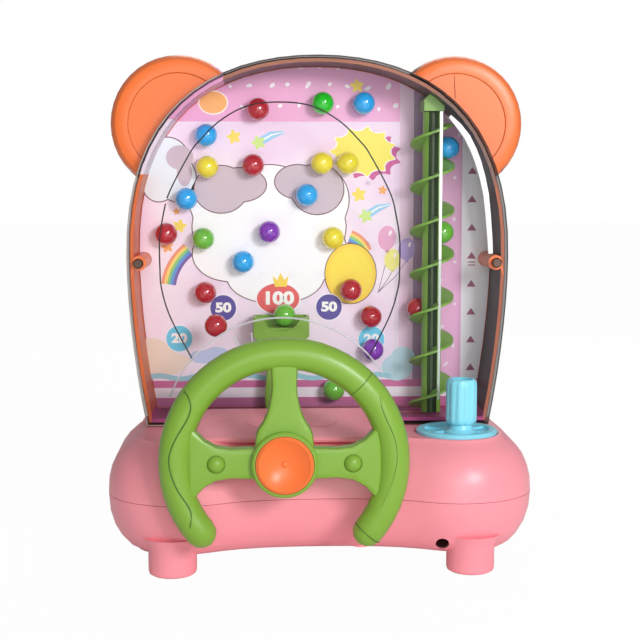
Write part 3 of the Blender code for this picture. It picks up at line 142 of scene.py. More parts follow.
def use_modifier(piece: Piece, kind: str, **settings: object) -> None:
    """Adds a modifier, sets it and applies it.

    Args:
        piece: the object to shape.
        kind: Blender's name for the modifier.
        settings: values of the modifier's own properties.
    """
    only(piece)
    bpy.ops.object.modifier_add(type=kind)
    modifier = piece.modifiers[-1]
    for key, value in settings.items():
        setattr(modifier, key, value)
    bpy.ops.object.modifier_apply(modifier=modifier.name)


def soften(piece: Piece, degrees: float = 35.0, weighted: bool = False) -> None:
    """Shades a piece smooth except over its sharp edges.

    Args:
        piece: the object to shade.
        degrees: the angle past which an edge stays sharp.
        weighted: whether wide flat faces keep their own direction.
    """
    only(piece)
    bpy.ops.object.shade_smooth_by_angle(angle=math.radians(degrees))
    if weighted:
        use_modifier(piece, "WEIGHTED_NORMAL", keep_sharp=True, weight=60)


def weld(piece: Piece, outward: bool = True) -> None:
    """Merges points that lie together, and turns every face outward if asked."""
    only(piece)
    bpy.ops.object.mode_set(mode="EDIT")
    bpy.ops.mesh.select_all(action="SELECT")
    bpy.ops.mesh.remove_doubles(threshold=MERGE)
    if outward:
        bpy.ops.mesh.normals_make_consistent(inside=False)
    bpy.ops.object.mode_set(mode="OBJECT")


def as_mesh(piece: Piece) -> Piece:
    """Turns a curve or a text into a mesh."""
    only(piece)
    bpy.ops.object.convert(target="MESH")
    return bpy.context.object


def dress(piece: Piece, finish: "Finish", body: str) -> Piece:
    """Gives a new piece its finish and the body it moves with.

    Args:
        piece: the object, in place.
        finish: what it is made of.
        body: the body's name.

    Returns:
        The same object.
    """
    piece.data.materials.clear()
    piece.data.materials.append(finish.material())
    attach(piece, body)
    log.info("%s: %s on %s", piece.name, finish.name, body)
    return piece


def skin(node: str, finish: "Finish", degrees: float = 32.0) -> Piece:
    """Stands a smooth-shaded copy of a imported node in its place.

    Args:
        node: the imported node.
        finish: what it is made of.
        degrees: the angle past which an edge stays sharp.

    Returns:
        The copy.
    """
    piece = linked(f"{node}_skin", frame["nodes"][node].data.copy())
    only(piece)
    bpy.ops.mesh.customdata_custom_splitnormals_clear()
    weld(piece, outward=False)
    soften(piece, degrees, weighted=True)
    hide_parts(node)
    return dress(piece, finish, body_of_node(node))


# ---------------------------------------------------------------- shader groups

class Shading:
    """Short ways to add and join nodes in one tree."""

    def __init__(self, tree: Tree) -> None:
        """Keeps the tree that the nodes go in."""
        self.tree = tree

    def node(self, kind: str, **values: object) -> Node:
        """Adds a node.

        Args:
            kind: the node's type name, without "ShaderNode" where it starts so.
            values: properties, or input sockets given as their name with spaces as underscores.

        Returns:
            The node.
        """
        item = self.tree.nodes.new(kind if kind.startswith("Node") else f"ShaderNode{kind}")
        for key in [k for k in values if hasattr(item, k)]:
            setattr(item, key, values.pop(key))
        self.feed(item, **values)
        return item

    def feed(self, item: Node, **values: object) -> None:
        """Joins or sets a node's inputs, each given as its name with spaces as underscores."""
        for key, value in values.items():
            self.give(item.inputs[key.replace("_", " ")], value)

    def give(self, target: Socket, value: object) -> None:
        """Joins an output to an input, or sets the input to a plain value."""
        if isinstance(value, Socket):
            self.tree.links.new(value, target)
        else:
            target.default_value = value

    def maths(self, operation: str, *terms: object, clamp: bool = False) -> Socket:
        """Adds a Math node.

        Args:
            operation: what it does.
            terms: sockets or numbers, in order.
            clamp: whether the result stays from 0 to 1.

        Returns:
            The result.
        """
        item = self.node("Math", operation=operation, use_clamp=clamp)
        for term, target in zip(terms, item.inputs):
            self.give(target, term)
        return item.outputs[0]

    times = partialmethod(maths, "MULTIPLY")
    plus = partialmethod(maths, "ADD")
    minus = partialmethod(maths, "SUBTRACT")
    above = partialmethod(maths, "GREATER_THAN")
    below = partialmethod(maths, "LESS_THAN")

    def noise(self, place: object, scale: float, detail: float, roughness: float = 0.5) -> Socket:
        """Gives noise from 0 to 1 at a place."""
        item = self.node("TexNoise", Vector=place, Scale=scale, Detail=detail, Roughness=roughness)
        return item.outputs["Fac"]

    def flat(self, place: Socket) -> tuple[Socket, Socket]:
        """Gives a place's X and Z."""
        split = self.node("SeparateXYZ", Vector=place)
        return split.outputs["X"], split.outputs["Z"]

    def far(self, across: Socket, along: Socket) -> Socket:
        """Gives the length of a flat step."""
        return self.maths("SQRT", self.plus(self.times(across, across), self.times(along, along)))

    def between(self, value: Socket, low: float, high: float) -> Socket:
        """Gives 1 where a value lies between two limits, and 0 elsewhere."""
        return self.times(self.above(value, low), self.below(value, high))

    def paint(self, below: object, colour: object, mask: object) -> Socket:
        """Lays one colour over another.

        Args:
            below: the colour under it, a socket or a linear colour.
            colour: the colour on top, a socket or a linear colour.
            mask: how much of it shows, a socket or a number.

        Returns:
            The mixed colour.
        """
        item = self.node("Mix", data_type="RGBA")
        for index, value in ((0, mask), (6, below), (7, colour)):
            self.give(item.inputs[index], value)
        return item.outputs[2]


def shader_group(name: str, inputs: dict[str, object], outputs: dict[str, str],
                 fill: Callable[[Shading, Node, Node], None]) -> Tree:
    """Makes a shared node group once.

    Args:
        name: the group's name.
        inputs: each input's name and starting value; a colour has four parts and a place three.
        outputs: each output's name and socket kind.
        fill: puts the nodes in, given the tree and its two ends.

    Returns:
        The group.
    """
    if name in bpy.data.node_groups:
        return bpy.data.node_groups[name]
    tree = bpy.data.node_groups.new(name, "ShaderNodeTree")
    for key, value in inputs.items():
        kind = "NodeSocketFloat"
        if isinstance(value, tuple):
            kind = "NodeSocketColor" if len(value) == 4 else "NodeSocketVector"
        socket = tree.interface.new_socket(key, in_out="INPUT", socket_type=kind)
        socket.default_value = value
    for key, kind in outputs.items():
        tree.interface.new_socket(key, in_out="OUTPUT", socket_type=kind)
    net = Shading(tree)
    fill(net, net.node("NodeGroupInput"), net.node("NodeGroupOutput"))
    return tree


def fill_moulded(net: Shading, given: Node, result: Node) -> None:
    """Puts in moulded plastic: soft flow marks, dust on upward faces, a fine grain and faint sink waves."""
    place = given.outputs["Place"]
    flow = net.noise(place, 26.0, 3.0, 0.55)
    grain = net.noise(place, 1500.0, 2.0)
    waves = net.noise(place, 38.0, 0.0)
    facing = net.node("SeparateXYZ", Vector=net.node("NewGeometry").outputs["Normal"])
    up = net.times(net.maths("MAXIMUM", facing.outputs["Z"], 0.0), given.outputs["Dust"])
    swing = net.times(net.minus(flow, 0.5), given.outputs["Flow"])
    darker = net.paint(given.outputs["Colour"], given.outputs["Deep Colour"],
                       net.plus(swing, given.outputs["Flow"], clamp=True))
    speck = net.times(net.minus(grain, 0.5), 0.16)
    net.feed(result, Colour=net.paint(darker, linear((250, 246, 240)), net.times(up, flow)),
             Roughness=net.plus(net.plus(given.outputs["Roughness"], speck), up, clamp=True),
             Height=net.plus(net.times(grain, given.outputs["Grain"]), waves))


def moulded_group() -> Tree:
    """The shared group for moulded plastic."""
    return shader_group(
        "moulded_plastic",
        {"Place": (0.0, 0.0, 0.0), "Colour": (0.8, 0.8, 0.8, 1.0), "Deep Colour": (0.5, 0.5, 0.5, 1.0),
         "Flow": 0.2, "Roughness": 0.35, "Grain": 0.2, "Dust": 0.03},
        {"Colour": "NodeSocketColor", "Roughness": "NodeSocketFloat", "Height": "NodeSocketFloat"}, fill_moulded)


def fill_dots(net: Shading, given: Node, result: Node) -> None:
    """Puts in round dots on a staggered grid seen from the front."""
    x, z = net.flat(given.outputs["Place"])
    row = net.maths("DIVIDE", z, given.outputs["Pitch"])
    odd = net.times(net.maths("FLOORED_MODULO", net.maths("FLOOR", row), 2.0), 0.5)
    column = net.plus(net.maths("DIVIDE", x, given.outputs["Pitch"]), odd)
    reach = net.far(net.minus(net.maths("FRACT", column), 0.5), net.minus(net.maths("FRACT", row), 0.5))
    net.feed(result, Mask=net.below(reach, given.outputs["Dot"]))


def dots_group() -> Tree:
    """The shared group for printed dots."""
    return shader_group("printed_dots", {"Place": (0.0, 0.0, 0.0), "Pitch": 7.0 * MM, "Dot": 0.2},
                        {"Mask": "NodeSocketFloat"}, fill_dots)


def fill_press(net: Shading, given: Node, result: Node) -> None:
    """Puts in printed board: faint paper fibre and uneven ink."""
    fibre = net.noise(given.outputs["Place"], 420.0, 4.0)
    uneven = net.noise(given.outputs["Place"], 45.0, 2.0)
    amount = net.times(uneven, given.outputs["Unevenness"], clamp=True)
    net.feed(result, Colour=net.paint(given.outputs["Colour"], linear((255, 250, 252)), amount),
             Roughness=net.plus(net.times(fibre, 0.14), 0.42), Height=fibre)


def press_group() -> Tree:
    """The shared group for printed board."""
    return shader_group("printed_board",
                        {"Place": (0.0, 0.0, 0.0), "Colour": (0.8, 0.8, 0.8, 1.0), "Unevenness": 0.12},
                        {"Colour": "NodeSocketColor", "Roughness": "NodeSocketFloat", "Height": "NodeSocketFloat"},
                        fill_press)


# ---------------------------------------------------------------- finishes

@dataclass(frozen=True)
class Finish:
    """What a piece is made of; each kind fills its own nodes."""

    name: str
    slot: str

    def material(self) -> bpy.types.Material:
        """Gives the material, made the first time that it is asked for."""
        if self.name in bpy.data.materials:
            return bpy.data.materials[self.name]
        item = bpy.data.materials.new(self.name)
        item.use_nodes = True
        self.fill(Shading(item.node_tree), item.node_tree.nodes["Principled BSDF"])
        return item

    def fill(self, net: Shading, surface: Node) -> None:
        """Puts the nodes in."""
        raise NotImplementedError

    @staticmethod
    def place(net: Shading) -> Socket:
        """Gives the piece's own coordinates."""
        return net.node("TexCoord").outputs["Object"]

    @staticmethod
    def bump(net: Shading, surface: Node, height: Socket, strength: float,
             depth: float) -> None:
        """Turns a height into the surface's relief.

        Args:
            net: the tree.
            surface: the shader.
            height: the height's socket.
            strength: how strongly it shows.
            depth: its depth in metres.
        """
        relief = net.node("Bump", Strength=strength, Distance=depth, Height=height)
        net.feed(surface, Normal=relief.outputs["Normal"])


@dataclass(frozen=True)
class Moulded(Finish):
    """Injection-moulded plastic in one colour."""

    colour: Rgb = (200, 200, 200)
    deep: Rgb = (150, 150, 150)
    roughness: float = 0.34
    flow: float = 0.1
    grain: float = 0.25
    dust: float = 0.03
    relief: float = 0.12
    coat: float = 0.0

    def fill(self, net: Shading, surface: Node) -> None:
        """Puts the nodes in."""
        group = net.node("Group", node_tree=moulded_group(), Place=self.place(net), Colour=linear(self.colour),
                         Deep_Colour=linear(self.deep), Flow=self.flow, Roughness=self.roughness, Grain=self.grain,
                         Dust=self.dust)
        net.feed(surface, Base_Color=group.outputs["Colour"], Roughness=group.outputs["Roughness"],
                 Coat_Weight=self.coat)
        self.bump(net, surface, group.outputs["Height"], self.relief, 0.25 * MM)


@dataclass(frozen=True)
class Steel(Finish):
    """Plated steel with fine turning marks."""

    colour: Rgb = (150, 150, 155)
    roughness: float = 0.3

    def fill(self, net: Shading, surface: Node) -> None:
        """Puts the nodes in."""
        marks = net.noise(self.place(net), 900.0, 3.0)
        net.feed(surface, Base_Color=net.paint(linear(self.colour), linear((70, 66, 64)), net.times(marks, 0.4)),
                 Roughness=net.plus(net.times(marks, 0.2), self.roughness - 0.1), Metallic=1.0)
        self.bump(net, surface, marks, 0.15, 0.05 * MM)


@dataclass(frozen=True)
class Window(Finish):
    """Clear styrene: nearly invisible face on, milky at a grazing angle, faintly scuffed."""

    colour: Rgb = (238, 240, 246)
    face: float = 0.008
    edge: float = 0.12

    def fill(self, net: Shading, surface: Node) -> None:
        """Puts the nodes in."""
        scuffs = net.noise(self.place(net), 60.0, 5.0, 0.7)
        spread = net.times(net.node("LayerWeight", Blend=0.3).outputs["Facing"], self.edge - self.face)
        net.feed(surface, Base_Color=net.paint(linear(self.colour), linear((214, 220, 232)), scuffs),
                 Roughness=net.plus(net.times(scuffs, 0.08), 0.04), Alpha=net.plus(spread, self.face, clamp=True))


@dataclass(frozen=True)
class PaintedSideShade(Finish):
    """Plastic painted with light and shade: a lit colour at the toy's left, painted shade over the top and down the
    right.

    The places where one colour meets the next are in metres, each with how fast it changes there.
    """

    left: Rgb = (226, 110, 58)
    top: Rgb = (120, 82, 72)
    right: Rgb = (84, 48, 38)
    corner: Rgb = (92, 90, 92)
    alpha: float = 1.0
    printed: bool = True
    turn: Flat = (-64.0 * MM, 200.0)
    down: Flat = (100.0 * MM, 80.0)
    bend: Flat = (70.0 * MM, 90.0)
    bend_height: Flat = (232.0 * MM, 90.0)
    print_corner: Flat = (-60.0 * MM, 243.0 * MM)
    print_foot: Flat = (107.5 * MM, 93.5 * MM)

    def fill(self, net: Shading, surface: Node) -> None:
        """Puts the nodes in."""
        place = self.place(net)
        x, z = net.flat(place)
        streak = net.noise(place, 30.0, 3.0)
        over, down, bend, high = (net.times(net.minus(value, start_at), speed, clamp=True) for value, (start_at, speed)
                                  in ((x, self.turn), (x, self.down), (x, self.bend), (z, self.bend_height)))
        # Painted light and shade: left of the turn the lit colour stays; right of it the top's painted shade fades into
        # the darker right one, with a painted grey reflection in the upper right corner.
        colour = net.paint(linear(self.top), linear(self.right), down)
        colour = net.paint(colour, linear(self.corner), net.times(bend, high))
        colour = net.paint(linear(self.left), colour, over)
        if self.printed:
            edge = net.times(net.below(x, self.print_corner[0]), net.above(z, self.print_corner[1]))
            band = net.paint(linear(HEAD_EDGE), linear(HEAD_PINK), net.above(z, HEAD_BAND))
            colour = net.paint(colour, band, edge)
            foot = net.times(net.below(net.maths("ABSOLUTE", x), self.print_foot[0]), net.below(z, self.print_foot[1]))
            colour = net.paint(colour, linear(FOOT_MAGENTA), foot)
        net.feed(surface, Base_Color=net.paint(colour, linear((40, 30, 30)), net.times(streak, 0.3)),
                 Roughness=net.plus(net.times(streak, 0.16), 0.3), Specular_IOR_Level=0.15, Alpha=self.alpha)


@dataclass(frozen=True)
class Ink(Finish):
    """One printed colour on the card."""

    colour: Rgb = (200, 200, 200)
    unevenness: float = 0.1

    def fill(self, net: Shading, surface: Node) -> None:
        """Puts the nodes in."""
        place = self.place(net)
        group = net.node("Group", node_tree=press_group(), Place=place, Colour=linear(self.colour),
                         Unevenness=self.unevenness)
        self.tint(net, place, group)
        net.feed(surface, Base_Color=group.outputs["Colour"], Roughness=group.outputs["Roughness"])
        self.bump(net, surface, group.outputs["Height"], 0.08, 0.05 * MM)

    def tint(self, net: Shading, place: Socket, group: Node) -> None:
        """Leaves the one colour as it is; inks of several colours join theirs to the group here."""


def ink(name: str, colour: Rgb, unevenness: float = 0.1) -> Ink:
    """One printed colour, by its short name."""
    return Ink(f"ink_{name}", "card", colour, unevenness=unevenness)


@dataclass(frozen=True)
class BandInk(Ink):
    """Rainbow or badge rings printed round one centre."""

    centre: Flat = (0.0, 0.0)
    inner: float = 0.0
    outer: float = 10 * MM
    squash: float = 1.0
    bands: tuple[tuple[float, Rgb], ...] = ()

    def tint(self, net: Shading, place: Socket, group: Node) -> None:
        """Colours by the distance from the centre."""
        x, z = net.flat(place)
        along = net.maths("DIVIDE", net.minus(z, self.centre[1]), self.squash)
        reach = net.far(net.minus(x, self.centre[0]), along)
        part = net.maths("DIVIDE", net.minus(reach, self.inner), self.outer - self.inner, clamp=True)
        ramp = net.node("ValToRGB", Fac=part)
        ramp.color_ramp.interpolation = "CONSTANT"
        stops = ramp.color_ramp.elements
        while len(stops) < len(self.bands):
            stops.new(1.0)
        for stop, (position, colour) in zip(stops, self.bands):
            stop.position = position
            stop.color = linear(colour)
        net.feed(group, Colour=ramp.outputs["Color"])


@dataclass(frozen=True)
class CardInk(Ink):
    """The card's ground: dotted head band, soft sky, ball lane stripes with a painted shadow of the lift screw, and
    foot stripes.
    """

    foot: tuple[float, float, float] = (104.8 * MM, 100.0 * MM, 93.2 * MM)
    # Lane edges in X: start, painted shadow behind the lift screw, dotted stripe, white stripe.
    lane: tuple[float, float, float, float] = (56.0 * MM, 65.4 * MM, 84.2 * MM, 98.0 * MM)

    def dots(self, net: Shading, place: Socket, pitch: float, dot: float) -> Socket:
        """Gives the mask of printed dots, each moved a little off its grid.

        Args:
            net: the tree.
            place: the piece's own coordinates.
            pitch: the grid's pitch in metres.
            dot: a dot's radius as a share of the pitch.

        Returns:
            The mask.
        """
        wander = net.noise(place, 90.0, 0.0).node.outputs["Color"]
        moved = net.node("VectorMath", operation="MULTIPLY_ADD")
        for target, value in zip(moved.inputs, (wander, (0.009, 0.0, 0.009), place)):
            net.give(target, value)
        group = net.node("Group", node_tree=dots_group(), Place=moved.outputs[0], Pitch=pitch, Dot=dot)
        return group.outputs["Mask"]

    def tint(self, net: Shading, place: Socket, group: Node) -> None:
        """Lays the printed areas over each other."""
        x, z = net.flat(place)
        soft = net.times(net.minus(net.noise(place, 22.0, 3.0), 0.42), 3.2, clamp=True)
        low = net.times(net.minus(0.2, z), 9.0, clamp=True)
        start_x, screw_shadow_x, lane_x, white_x = self.lane
        top, middle, bottom = self.foot
        spotted = net.paint(linear((238, 172, 216)), linear((250, 228, 244)), self.dots(net, place, 14.0 * MM, 0.09))
        band = net.paint(linear(HEAD_PINK), linear((255, 246, 252)), self.dots(net, place, 13.0 * MM, 0.12))
        lane = linear((234, 200, 226))
        # Lane stripes; the dark purple one from the second edge is the lift screw's shadow, painted into the print.
        for colour, edge in ((linear((156, 120, 158)), screw_shadow_x), (spotted, lane_x), (linear((250, 246, 253)), white_x)):
            lane = net.paint(lane, colour, net.above(x, edge))
        ground = linear((243, 214, 240))
        for colour, mask in ((linear((252, 240, 250)), soft), (linear((244, 232, 248)), low),
                             (lane, net.above(x, start_x)),
                             (band, net.times(net.above(z, HEAD_BAND), net.below(x, start_x))),
                             (linear((206, 96, 158)), net.between(z, middle, top)),
                             (linear((244, 232, 244)), net.between(z, bottom, middle)),
                             (linear(FOOT_MAGENTA), net.between(z, 0.0, bottom))):
            ground = net.paint(ground, colour, mask)
        net.feed(group, Colour=ground)


PINK = Moulded("pink_plastic", "pink", (252, 156, 168), (238, 128, 142))
GREEN = Moulded("green_plastic", "green", (130, 174, 56), (108, 150, 42))
ORANGE = Moulded("orange_plastic", "orange", (250, 122, 54), (230, 98, 38))
CYAN = Moulded("cyan_plastic", "cyan", (140, 226, 246), (104, 200, 228))
# White plastic of the gears and plates; also the finish of two painted highlight strips.
WHITE_AND_HIGHLIGHT = Moulded("white_plastic_and_highlight", "white", (246, 244, 242), (224, 222, 224))
SPINDLE_GREEN = Moulded("lift_green", "green", (128, 176, 70), (96, 146, 48))
SEAM_GREEN = Moulded("green_seam", "green", (74, 112, 34), (58, 92, 26), roughness=0.5)
SEAM_PINK = Moulded("pink_seam", "pink", (176, 92, 98), (150, 72, 80), roughness=0.5)
SEAM_ORANGE = Moulded("orange_seam", "orange", (150, 66, 34), (120, 50, 26), roughness=0.5)
# Near black, painted for the dark look of a step edge in the clear window.
STEP_EDGE_SHADE = Moulded("step_edge_shade", "clear", (12, 10, 14), (8, 7, 10), roughness=0.3)
# Dark green painted shade for the front of the lift screw's groove.
GROOVE_SHADE = Moulded("groove_shade", "green", (44, 66, 26), (30, 48, 18), roughness=0.5)
STEEL = Steel("plated_steel", "steel")
DARK_STEEL = Steel("dark_steel", "steel", (92, 74, 66), 0.35)
CLEAR = Window("clear_window", "clear")
CLEAR_WALL = Window("clear_wall", "clear", (246, 242, 252), 0.006, 0.04)
# Finishes with painted shade, in a lit colour at the toy's left and shaded over the top and down the right: the
# window's skirt and rim, and the tray's step, rim and inner wall.
CLEAR_SKIRT = PaintedSideShade("clear_skirt", "clear", (168, 132, 116), (92, 64, 56), (60, 36, 30), (76, 60, 58), 0.72, False)
# Nearly solid white, painted for highlights on the clear window.
RIB_HIGHLIGHT = Window("rib_highlight", "clear", (252, 252, 254), 0.5, 0.9)
WINDOW_RIM = PaintedSideShade("window_rim", "clear", (214, 198, 190), (70, 50, 44), (60, 36, 30), (64, 52, 50), 0.85, False)
TRAY_STEP = PaintedSideShade("tray_step", "orange", (206, 176, 160), (84, 56, 48), (58, 32, 26), (86, 58, 50))
TRAY_RIM = PaintedSideShade("tray_rim", "orange", (236, 116, 60), (178, 116, 92), (188, 108, 80), (140, 108, 98))
TRAY_WALL = PaintedSideShade("tray_wall", "orange", (232, 112, 56), (104, 66, 56), (66, 32, 24), (84, 82, 86))
CARD = CardInk("printed_card", "card")


def ball_plastic(name: str, colour: Rgb, deep: Rgb) -> Moulded:
    """Glossy plastic of a ball, in one colour."""
    return Moulded(f"ball_{name}_plastic", f"ball_{name}", colour, deep, roughness=0.12, flow=0.12, grain=0.05,
                   dust=0.0, relief=0.03, coat=1.0)


class BallColour(Enum):
    """The colours that the balls come in."""

    RED = ball_plastic("red", (190, 22, 42), (158, 10, 32))
    LIME = ball_plastic("lime", (12, 204, 22), (4, 172, 12))
    BLUE = ball_plastic("blue", (30, 176, 250), (10, 142, 228))
    YELLOW = ball_plastic("yellow", (248, 232, 52), (226, 196, 20))
    LEAF = ball_plastic("green", (112, 196, 58), (80, 166, 34))
    PURPLE = ball_plastic("purple", (136, 54, 190), (106, 30, 160))


# ---------------------------------------------------------------- flat and wire shapes

def wire(name: str, points: Sequence[Vector], radius: float, closed: bool = False,
         widths: Optional[Sequence[float]] = None) -> Piece:
    """Sweeps a round wire along a smooth path.

    Args:
        name: the piece's name.
        points: the path.
        radius: the wire's radius.
        closed: whether the path joins up.
        widths: each point's share of the radius.

    Returns:
        The wire as a mesh.
    """
    piece = added(name, bpy.ops.curve.primitive_nurbs_path_add, location=ORIGIN)
    data = piece.data
    data.splines.clear()
    spline = data.splines.new("NURBS")
    spline.points.add(len(points) - 1)
    for index, (point, target) in enumerate(zip(points, spline.points)):
        target.co = (*point, 1.0)
        target.radius = widths[index] if widths else 1.0
    spline.order_u = 4
    spline.use_endpoint_u = not closed
    spline.use_cyclic_u = closed
    spline.resolution_u = 6
    data.bevel_depth = radius
    data.bevel_resolution = 3
    data.use_fill_caps = not closed
    piece = as_mesh(piece)
    weld(piece)
    soften(piece, 50.0)
    return piece


def plate(name: str, outlines: Iterable[Sequence[Flat]], front: float, back: float,
          round_edge: float = 0.0) -> Piece:
    """Cuts flat shapes out of a sheet that stands facing the front.

    Args:
        name: the piece's name.
        outlines: each shape's outline in X and Z.
        front: Y of the face.
        back: Y of the back.
        round_edge: how far the edges are rolled.

    Returns:
        The plate as a mesh.
    """
    piece = added(name, bpy.ops.curve.primitive_bezier_circle_add, location=ORIGIN)
    data = piece.data
    data.splines.clear()
    data.dimensions = "2D"
    data.fill_mode = "BOTH"
    for outline in outlines:
        spline = data.splines.new("POLY")
        spline.points.add(len(outline) - 1)
        for (x, z), target in zip(outline, spline.points):
            target.co = (x, z, 0.0, 1.0)
        spline.use_cyclic_u = True
    data.extrude = (back - front) / 2 - round_edge
    data.bevel_depth = round_edge
    data.bevel_resolution = 2
    piece = as_mesh(piece)
    piece.rotation_euler = UPRIGHT
    piece.location = (0.0, (front + back) / 2, 0.0)
    settle(piece)
    weld(piece)
    soften(piece, 40.0)
    return piece


def standing(points: Iterable[Flat], y: float) -> list[Vector]:
    """Stands points of a front view, in millimetres, at one depth in metres."""
    return [Vector((x * MM, y, z * MM)) for x, z in points]


def in_metres(points: Iterable[Flat]) -> list[Flat]:
    """Turns millimetres into metres."""
    return [(x * MM, z * MM) for x, z in points]


def oval(x: float, z: float, wide: float, tall: float, count: int = 40, lean: float = 0.0) -> list[Flat]:
    """An oval outline from its centre and half sizes, leaning by an angle in degrees."""
    turn = math.radians(lean)
    points = []
    for index in range(count):
        angle = 2 * math.pi * index / count
        u, v = wide * math.cos(angle), tall * math.sin(angle)
        points.append((x + u * math.cos(turn) - v * math.sin(turn), z + u * math.sin(turn) + v * math.cos(turn)))
    return points


def star(x: float, z: float, radius: float, lean: float = 0.0, waist: float = 0.52) -> list[Flat]:
    """A plump five-pointed star's outline with rounded tips."""
    points = []
    for index in range(10):
        angle = math.radians(90 + lean + 36 * index)
        reach = radius * (1.0 if index % 2 == 0 else waist)
        if index % 2 == 0:
            for offset in (-9, 9):
                tip = angle + math.radians(offset)
                points.append((x + 0.9 * reach * math.cos(tip), z + 0.9 * reach * math.sin(tip)))
        else:
            points.append((x + reach * math.cos(angle), z + reach * math.sin(angle)))
    return points


def ribbon(path: Sequence[Flat], widths: Sequence[float]) -> list[Flat]:
    """The outline of a stroke that runs along a path with its own width at each point."""
    left, right = [], []
    for index, (x, z) in enumerate(path):
        ahead = path[min(index + 1, len(path) - 1)]
        behind = path[max(index - 1, 0)]
        along = Vector((ahead[0] - behind[0], ahead[1] - behind[1])).normalized()
        half = widths[index] / 2
        left.append((x - along.y * half, z + along.x * half))
        right.append((x + along.y * half, z - along.x * half))
    return left + right[::-1]


def arc_path(x: float, z: float, radius: float, first: float, last: float, count: int = 24) -> list[Flat]:
    """Points along a circle from one angle to another, in degrees from +X towards +Z."""
    points = []
    for index in range(count + 1):
        angle = math.radians(first + (last - first) * index / count)
        points.append((x + radius * math.cos(angle), z + radius * math.sin(angle)))
    return points


def smooth_path(points: Sequence[Flat], steps: int = 6) -> list[Flat]:
    """Points of a smooth line that passes through the given ones.

    Args:
        points: the points to pass through.
        steps: how many points each stretch gives.

    Returns:
        The line's points.
    """
    knots = [points[0], *points, points[-1]]
    path = []
    for before, here, ahead, after in zip(knots, knots[1:], knots[2:], knots[3:]):
        for step in range(steps):
            t = step / steps
            path.append(tuple(b + (c - a) * t / 2 + (2 * a - 5 * b + 4 * c - d) * t * t / 2
                              + (3 * b - a - 3 * c + d) * t ** 3 / 2
                              for a, b, c, d in zip(before, here, ahead, after)))
    return [*path, tuple(points[-1])]


def lobed(x: float, z: float, lobes: Sequence[tuple[float, float, float, float]], grow: float = 0.0,
          count: int = 120) -> list[Flat]:
    """The outer outline of overlapping ovals, seen from a middle that they share.

    Args:
        x: the middle.
        z: the middle's height.
        lobes: each oval's centre and half sizes.
        grow: how far the ovals are widened.
        count: how many points the outline has.

    Returns:
        The outline.
    """
    points = []
    for index in range(count):
        angle = 2 * math.pi * index / count
        u, v = math.cos(angle), math.sin(angle)
        reach = 0.0
        for cx, cz, wide, tall in lobes:
            a, b = wide + grow, tall + grow
            square = (u / a) ** 2 + (v / b) ** 2
            half = (u * (x - cx)) / a ** 2 + (v * (z - cz)) / b ** 2
            rest = ((x - cx) / a) ** 2 + ((z - cz) / b) ** 2 - 1
            inside = half * half - square * rest
            if inside > 0:
                reach = max(reach, (-half + math.sqrt(inside)) / square)
        points.append((x + reach * u, z + reach * v))
    return points


# ---------------------------------------------------------------- printed card

